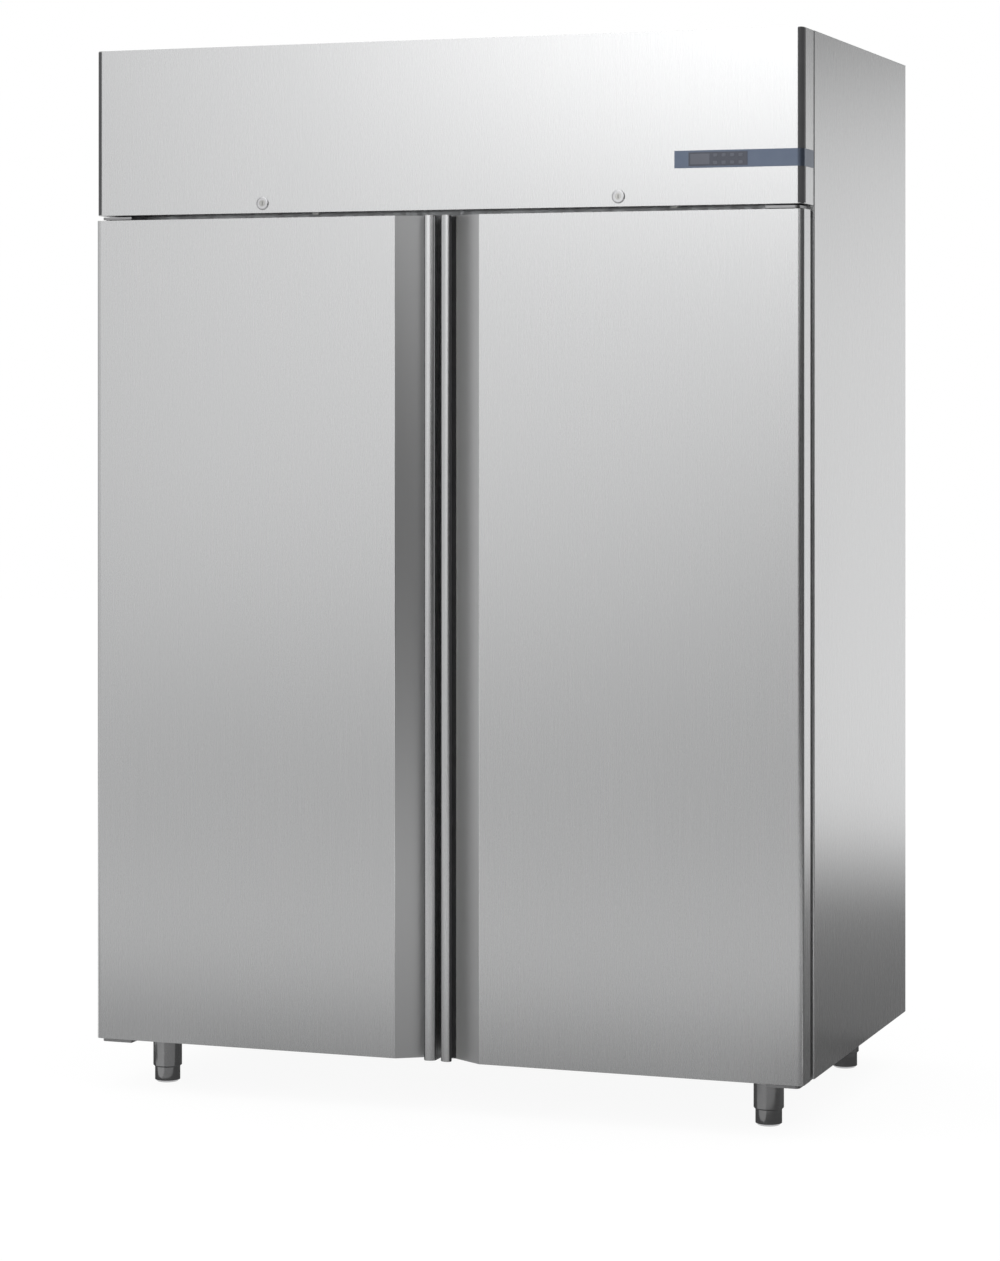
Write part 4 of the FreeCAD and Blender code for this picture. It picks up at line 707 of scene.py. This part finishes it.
def gripShadeAndLight(side):
    low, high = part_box(side + "_door_skin")
    slack, sheet = gripShadeAndLightSet["slack"], gripShadeAndLightSet["sheet"]
    inside, bottom = gripShadeAndLightSet["wallReach"] + slack, gripShadeAndLightSet["floorDepth"] - slack
    reach = gripShadeAndLightSet["shadeStripReach"]
    lipShade = lipCurve(slack) + lipCurve(slack + sheet)[::-1]
    strip = [(inside, bottom), (inside, bottom - sheet), (reach, bottom - sheet), (reach + sheet, bottom)]
    under, over = packedLip["thickness"] + gripShadeAndLightSet["wallGap"], bottom - sheet - slack
    wall = [(inside, under), (inside + sheet, under + sheet), (inside + sheet, over), (inside, over)]
    edge, inwards = (low.x, 1) if side == "right" else (high.x, -1)
    ends = (low.z + gripShadeAndLightSet["endGap"], high.z - gripShadeAndLightSet["endGap"])
    # lip and channel pieces: painted shade; wall piece: painted light
    for name, section, finish in (("LipPaintedShade", lipShade, "controller_case"),
                                  ("ChannelPaintedShade", strip, "controller_case"),
                                  # light liner: painted light in the shaded undercut, for the slopes to
                                  # reflect
                                  ("WallPaintedLight", wall, "contact_plastic")):
        shape = bmesh.new()
        addRings(shape, [[(edge + inwards * along, low.y + depth, z) for along, depth in section]
                         for z in ends])
        putPiece(shape, side + name, side + "_door", finish)


for side in ("left", "right"):
    gripShadeAndLight(side)
print("handles trimmed")


# shelves of round wire on a bent rim

shelfSet = {
    "levels": 3,
    "rim": 8 * mm,
    "rimCorner": 22 * mm,
    "wire": 4 * mm,
    "wires": 19,
    "crossBars": 3,
    "crossBar": 6 * mm,
}


def wireShelves(side):
    node = side + "_shelves"
    low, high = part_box(node)
    rim, wire, bar = (shelfSet[key] / 2 for key in ("rim", "wire", "crossBar"))
    x = (low.x + rim, high.x - rim)
    y = (low.y + rim, high.y - rim)
    shape = bmesh.new()
    for z in spaced(low.z + rim, high.z - rim, shelfSet["levels"]):
        outline = roundedOutline(x, y, shelfSet["rimCorner"], steps=6)
        addTube(shape, [(px, py, z) for px, py in outline], rim, loop=True)
        wireTop = z + rim - wire
        for wireX in spaced(*x, shelfSet["wires"] + 2)[1:-1]:
            addTube(shape, [(wireX, y[0], wireTop), (wireX, y[1], wireTop)], wire, sides=8)
        for barY in spaced(*y, shelfSet["crossBars"] + 2)[1:-1]:
            addTube(shape, [(x[0], barY, wireTop - wire - bar), (x[1], barY, wireTop - wire - bar)], bar,
                    sides=8)
    shelves = putPiece(shape, side + "WireShelves", "cabinet", "shelf_wire", sharp=60)
    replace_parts(shelves, node)


for side in ("left", "right"):
    wireShelves(side)
print("shelves laid")


# finned coils: thin plates on copper hairpins, with return bends outside the end plates

coilSet = {
    "condenser_coil": {"finPitch": 3.4 * mm, "rows": 2, "runs": 10},
    "evaporator_coil": {"finPitch": 5.0 * mm, "rows": 6, "runs": 4},
    "fin": 0.4 * mm,
    "finInset": 2 * mm,
    "endPlate": 1.2 * mm,
    "tube": 9.5 * mm,
}


def finnedCoil(node):
    coil = coilSet[node]
    stem = node.split("_")[0]
    low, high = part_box(node)
    tube, sheet, inset = coilSet["tube"] / 2, coilSet["endPlate"], coilSet["finInset"]
    spacing = (high.z - low.z) / coil["runs"]
    start = low.x + spacing / 2 + tube + sheet
    end = high.x - spacing / 2 - tube - sheet

    fins = bmesh.new()
    for x in spaced(start, end, int((end - start) / coil["finPitch"]))[1:-1]:
        addBar(fins, (x, low.y + inset, low.z + inset),
               (x + coilSet["fin"], high.y - inset, high.z - inset))
    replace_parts(putPiece(fins, stem + "Fins", "cabinet", "coil_fins"), node)

    plates = bmesh.new()
    addBar(plates, (start, low.y, low.z), (start + sheet, high.y, high.z))
    addBar(plates, (end - sheet, low.y, low.z), (end, high.y, high.z))
    addBar(plates, (start, low.y, low.z), (end, high.y, low.z + sheet))
    addBar(plates, (start, low.y, high.z - sheet), (end, high.y, high.z))
    putPiece(plates, stem + "EndPlates", "cabinet", "galvanised_sheet")

    bends = bmesh.new()
    for row in range(coil["rows"]):
        y = low.y + (high.y - low.y) * (row + 0.5) / coil["rows"]
        for run in range(coil["runs"] - 1):
            face, out = (start, -1) if (run + row) % 2 == 0 else (end, 1)
            middle = low.z + spacing * (run + 1)
            turns = spaced(0, math.pi, 9)
            addTube(bends, [(face + out * spacing / 2 * math.sin(turn), y,
                             middle - spacing / 2 * math.cos(turn)) for turn in turns], tube)
    putPiece(bends, stem + "ReturnBends", "cabinet", "copper_pipe")


finnedCoil("condenser_coil")
finnedCoil("evaporator_coil")
print("coils finned")


# fan guards: rings of wire on four spokes, with a plate for the motor

guardSet = {
    "wire": 2.6 * mm,
    "rings": 6,
    "motorPlate": 72 * mm,
    "plateSheet": 0.6,        # share of the wire
    "spokes": 4,
    "spokeStart": 0.9,        # share of the plate's radius
}


def fanGuard(shape, centre, diameter):
    wire = guardSet["wire"] / 2
    plate = guardSet["motorPlate"] / 2
    outer = diameter / 2 - wire
    for radius in spaced(plate, outer, guardSet["rings"]):
        addTube(shape, [(centre.x + radius * math.cos(turn), centre.y, centre.z + radius * math.sin(turn))
                        for turn in fullCircle(48)], wire, sides=8, loop=True)
    for turn in spaced(math.pi / 4, 2.25 * math.pi, guardSet["spokes"] + 1)[:-1]:
        reach = Vector((math.cos(turn), 0, math.sin(turn)))
        addTube(shape, [centre + reach * plate * guardSet["spokeStart"], centre + reach * outer], wire,
                sides=8)
    sheet = guardSet["plateSheet"] * wire
    addTurned(shape, centre, (0, 1, 0), [(plate, -sheet), (plate, sheet)], sides=48)


def guardPieces():
    low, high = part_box("condenser_fan_guard")
    shape = bmesh.new()
    fanGuard(shape, (low + high) / 2, high.z - low.z)
    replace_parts(putPiece(shape, "condenserGuard", "cabinet", "guard_wire"), "condenser_fan_guard")
    low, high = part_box("evaporator_fan_guards")
    diameter = high.z - low.z
    shape = bmesh.new()
    for x in (low.x + diameter / 2, high.x - diameter / 2):
        fanGuard(shape, Vector((x, (low.y + high.y) / 2, (low.z + high.z) / 2)), diameter)
    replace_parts(putPiece(shape, "evaporatorGuards", "cabinet", "guard_wire"), "evaporator_fan_guards")


guardPieces()
print("fan guards wired")


# readout and touch keys on the display window

displaySet = {
    "readout": (0.03, 0.36),      # shares of the window's length
    "keys": (0.42, 0.92),
    "keyColumns": 4,
    "keyRows": 2,
    "key": (8.0 * mm, 6.0 * mm),
    "border": 3.0 * mm,
    "proud": 0.3 * mm,
    "corner": 1.4 * mm,
    "edge": 0.12 * mm,
}


def displayFace():
    low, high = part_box("display_window")
    length = high.x - low.x
    border, proud, corner, edge = (displaySet[key] for key in ("border", "proud", "corner", "edge"))
    ends = [low.x + share * length for share in displaySet["readout"]]
    shape = bmesh.new()
    addPlate(shape, ends, (low.z + border, high.z - border), low.y, proud, corner, edge)
    putPiece(shape, "displayReadout", "header", "readout")

    first, last = (low.x + share * length for share in displaySet["keys"])
    wide, tall = (side / 2 for side in displaySet["key"])
    shape = bmesh.new()
    for x in spaced(first + wide, last - wide, displaySet["keyColumns"]):
        for z in spaced(low.z + border + tall, high.z - border - tall, displaySet["keyRows"]):
            addPlate(shape, (x - wide, x + wide), (z - tall, z + tall), low.y, proud, corner, edge)
    putPiece(shape, "displayKeys", "header", "keypad")


displayFace()
print("display faced")


# screws with a star recess, hexagon bolts and nuts

fixingSet = {
    "screwHead": 4.0 * mm,
    "screwHeight": 2.0 * mm,
    "screwProfile": ((1, 0), (1, 0.45), (0.86, 0.8), (0.62, 1)),    # shares of head and height
    "recess": 0.48,             # share of the head
    "recessFloor": 0.35,        # share of the height
    "starDepth": 0.74,
    "bolt": 10 * mm,            # across the flats
    "boltHeight": 4.5 * mm,
    "boltShoulder": 0.85,
    "boltCrown": 0.94,
    "washer": 1.2 * mm,
    "washerProfile": ((1.7, 0), (1.7, 0.8), (1.6, 1)),              # shares of bolt and washer
}


def addScrew(shape, place, along, height=fixingSet["screwHeight"]):
    head = fixingSet["screwHead"]
    recess = head * fixingSet["recess"]
    profile = [(head * reach, height * share) for reach, share in fixingSet["screwProfile"]]
    solid = len(profile)
    profile += [(recess, height), (recess, height * fixingSet["recessFloor"])]

    def star(step, index, turn):
        return fixingSet["starDepth"] if step >= solid and index % 4 >= 2 else 1

    addTurned(shape, place, along, profile, outlineAt=star)


def hexHead(step, index, turn):
    # two six-sided rings, then round ones
    return 1 / math.cos((turn + math.pi / 6) % (math.pi / 3) - math.pi / 6) if step < 2 else 1


def addBolt(shape, place, along):
    flat, height, washer = fixingSet["bolt"] / 2, fixingSet["boltHeight"], fixingSet["washer"]
    addTurned(shape, place, along,
              [(flat * reach, washer * share) for reach, share in fixingSet["washerProfile"]])
    profile = [(flat, washer), (flat, height * fixingSet["boltShoulder"]),
               (flat * fixingSet["boltCrown"], height)]
    addTurned(shape, place, along, profile, outlineAt=hexHead)


rearScrewSet = {"inset": 14 * mm, "flush": 0.9 * mm, "rows": 7, "columns": 5, "grilleColumns": 3}


def rearScrews():
    low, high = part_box("back_panel")
    inset, flush = rearScrewSet["inset"], rearScrewSet["flush"]
    shape = bmesh.new()
    for z in spaced(low.z + inset, high.z - inset, rearScrewSet["rows"]):
        for x in (low.x + inset, high.x - inset):
            addScrew(shape, (x, high.y, z), (0, 1, 0), flush)
    for x in spaced(low.x + inset, high.x - inset, rearScrewSet["columns"])[1:-1]:
        for z in (low.z + inset, high.z - inset):
            addScrew(shape, (x, high.y, z), (0, 1, 0), flush)
    low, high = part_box("rear_grille")
    for x in spaced(low.x + inset, high.x - inset, rearScrewSet["grilleColumns"]):
        for z in (low.z + inset, high.z - inset):
            addScrew(shape, (x, high.y, z), (0, 1, 0))
    putPiece(shape, "rearScrews", "cabinet", "hinge_steel")


# insets from the outer edge; the bolts lie below the top edge, the screws in front of the rear one
hingeBoltSet = {"insets": (16 * mm, 48 * mm), "plate": 5 * mm, "drop": 14 * mm, "fromRear": 11 * mm}


def hingeBolts():
    shape = bmesh.new()
    places = [(side, inset) for side in (-1, 1) for inset in hingeBoltSet["insets"]]
    low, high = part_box("top_hinge_brackets")
    y, z = high.y - hingeBoltSet["plate"], high.z - hingeBoltSet["drop"]
    for side, inset in places:
        addBolt(shape, (side * (high.x - inset), y, z), (0, -1, 0))
    low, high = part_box("bottom_hinge_brackets")
    for side, inset in places:
        addScrew(shape, (side * (high.x - inset), high.y - hingeBoltSet["fromRear"], low.z), (0, 0, -1))
    putPiece(shape, "hingeBolts", "cabinet", "hinge_steel")


coverScrewSet = {"ends": 20 * mm, "foot": 30 * mm, "top": 12 * mm, "columns": 3, "shroudInset": 12 * mm}


def coverScrews():
    low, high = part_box("evaporator_cover")
    ends = coverScrewSet["ends"]
    shape = bmesh.new()
    for x in spaced(low.x + ends, high.x - ends, coverScrewSet["columns"]):
        for z in (low.z + coverScrewSet["foot"], high.z - coverScrewSet["top"]):
            addScrew(shape, (x, low.y, z), (0, -1, 0))
    low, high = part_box("condenser_fan_shroud")
    inset = coverScrewSet["shroudInset"]
    for x in (low.x + inset, high.x - inset):
        for z in (low.z + inset, high.z - inset):
            addScrew(shape, (x, high.y, z), (0, 1, 0))
    putPiece(shape, "coverScrews", "cabinet", "hinge_steel")


rearScrews()
hingeBolts()
coverScrews()
print("fixings driven")


# lock nuts behind the header's face, and a domed ring round each lock in front of it

nutSet = {"flats": 27 * mm, "height": 6 * mm, "sheet": 1 * mm, "edge": 0.8 * mm}
rosetteSet = {"diameter": 26.5 * mm, "proud": 2.8 * mm, "rim": 0.4 * mm, "slack": 0.1 * mm}


def lockRosettes():
    low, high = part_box("lock_barrels")
    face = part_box("header_panel")[0].y
    bore = (high.z - low.z) / 2
    inner, outer = bore + rosetteSet["slack"], rosetteSet["diameter"] / 2
    rim, proud = rosetteSet["rim"], rosetteSet["proud"]
    profile = [(inner, 0), (inner, proud)]
    for turn in turnsFrom(0, 90, 7):
        profile.append((inner + rim + (outer - inner - rim) * math.sin(turn), proud * math.cos(turn)))
    shape = bmesh.new()
    for x in (low.x + bore, high.x - bore):
        addTurned(shape, (x, face, (low.z + high.z) / 2), (0, -1, 0), profile, sides=48, loop=True)
    putPiece(shape, "lockRosettes", "header", "lock_chrome", sharp=50)


def lockNuts():
    low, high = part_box("lock_barrels")
    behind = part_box("header_panel")[0].y + nutSet["sheet"]
    bore = (high.z - low.z) / 2
    flat, height, edge = nutSet["flats"] / 2, nutSet["height"], nutSet["edge"]
    profile = [(flat, 0), (flat, height - edge), (flat - edge, height), (bore, height), (bore, 0)]
    shape = bmesh.new()
    for x in (low.x + bore, high.x - bore):
        addTurned(shape, (x, behind, (low.z + high.z) / 2), (0, 1, 0), profile,
                  sides=48, outlineAt=hexHead, loop=True)
    putPiece(shape, "lockNuts", "header", "lock_chrome")


lockNuts()
lockRosettes()
print("locks dressed")


# compressor: weld seam round its shell, terminal cover, hold-down bolts

compressorSet = {
    "shell": 85 * mm,
    "foot": 26 * mm,
    "plateTop": 22 * mm,
    "seamHeight": 108 * mm,
    "seam": 2.4 * mm,
    "terminal": (66 * mm, 78 * mm, 30 * mm),
    "terminalHeight": 46 * mm,
    "terminalSunk": 14 * mm,
    "terminalCorner": 10 * mm,
    "terminalEdge": 5 * mm,
    "ribs": 4,
    "rib": 4 * mm,
    "ribInset": 16 * mm,
    "ribProud": 1.6 * mm,
    "ribCorner": 1.5 * mm,
    "ribEdge": 0.6 * mm,
}


def compressorFittings():
    low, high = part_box("compressor")
    middle = (low + high) / 2
    shell = compressorSet["shell"]
    shape = bmesh.new()
    z = low.z + compressorSet["seamHeight"]
    addTube(shape, [(middle.x + shell * math.cos(turn), middle.y + shell * math.sin(turn), z)
                    for turn in fullCircle(64)], compressorSet["seam"], sides=8, loop=True)
    putPiece(shape, "compressorSeam", "cabinet", "motor_casing")

    wide, tall, deep = compressorSet["terminal"]
    bottom = low.z + compressorSet["terminalHeight"]
    face = middle.y - shell + compressorSet["terminalSunk"]
    shape = bmesh.new()
    addPlate(shape, (middle.x - wide / 2, middle.x + wide / 2), (bottom, bottom + tall), face, deep,
             compressorSet["terminalCorner"], compressorSet["terminalEdge"])
    rib, inset = compressorSet["rib"] / 2, compressorSet["ribInset"]
    for ribX in spaced(middle.x - wide / 4, middle.x + wide / 4, compressorSet["ribs"]):
        addPlate(shape, (ribX - rib, ribX + rib), (bottom + inset, bottom + tall - inset), face - deep,
                 compressorSet["ribProud"], compressorSet["ribCorner"], compressorSet["ribEdge"])
    putPiece(shape, "terminalCover", "cabinet", "controller_case")

    inset = compressorSet["foot"] / 2
    shape = bmesh.new()
    for x in (low.x + inset, high.x - inset):
        for y in (low.y + inset, high.y - inset):
            addBolt(shape, (x, y, low.z + compressorSet["plateTop"]), (0, 0, 1))
    putPiece(shape, "compressorBolts", "cabinet", "hinge_steel")


compressorFittings()
print("compressor fitted")


# electrical box: lid screws and glands on its cable entries; plugs in the controller

wiringSet = {
    "lidInset": 16 * mm,
    "entryReach": 12 * mm,
    "entryLift": 30 * mm,
    "entries": (1, 2),          # thirds of the case behind the lid
    "lid": 30 * mm,
    "glandFlats": 24 * mm,
    "gland": 16 * mm,
    "glandProfile": ((1, 0), (1, 0.5), (0.9, 0.5), (0.8, 0.9), (0.6, 1)),    # shares of both
    "plug": (14 * mm, 8 * mm, 8 * mm),
    "plugTaper": 1.5 * mm,
    "plugCorner": 1 * mm,
    "plugInset": 14 * mm,
    "plugLift": 13.5 * mm,
    "plugs": 5,
}


def boxFittings():
    low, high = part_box("electrical_box")
    left = low.x + wiringSet["entryReach"]
    inset = wiringSet["lidInset"]
    shape = bmesh.new()
    for x in (left + inset, high.x - inset):
        for z in (low.z + inset, high.z - inset):
            addScrew(shape, (x, low.y, z), (0, -1, 0))
    putPiece(shape, "lidScrews", "cabinet", "hinge_steel")

    flat, length = wiringSet["glandFlats"] / 2, wiringSet["gland"]
    profile = [(flat * reach, length * share) for reach, share in wiringSet["glandProfile"]]
    caseFront = low.y + wiringSet["lid"]
    shape = bmesh.new()
    for third in wiringSet["entries"]:
        y = caseFront + (high.y - caseFront) * third / 3
        addTurned(shape, (low.x, y, low.z + wiringSet["entryLift"]), (-1, 0, 0), profile,
                  outlineAt=hexHead)
    putPiece(shape, "boxGlands", "cabinet", "controller_case")


def controllerPlugs():
    low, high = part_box("controller_box")
    wide, tall, deep = wiringSet["plug"]
    inset = wiringSet["plugInset"] + wide / 2
    z = low.z + wiringSet["plugLift"]
    taper, corner = wiringSet["plugTaper"], wiringSet["plugCorner"]
    shape = bmesh.new()
    for x in spaced(low.x + inset, high.x - inset, wiringSet["plugs"]):
        rings = []
        for narrow, out in ((0, -deep / 2), (0, deep / 4), (taper, deep / 2)):
            outline = roundedOutline((x - wide / 2 + narrow, x + wide / 2 - narrow),
                                     (z, z + tall - narrow), corner, steps=2)
            rings.append([(px, high.y + out, pz) for px, pz in outline])
        addRings(shape, rings)
    putPiece(shape, "controllerPlugs", "header", "contact_plastic")


boxFittings()
controllerPlugs()
print("wiring fitted")
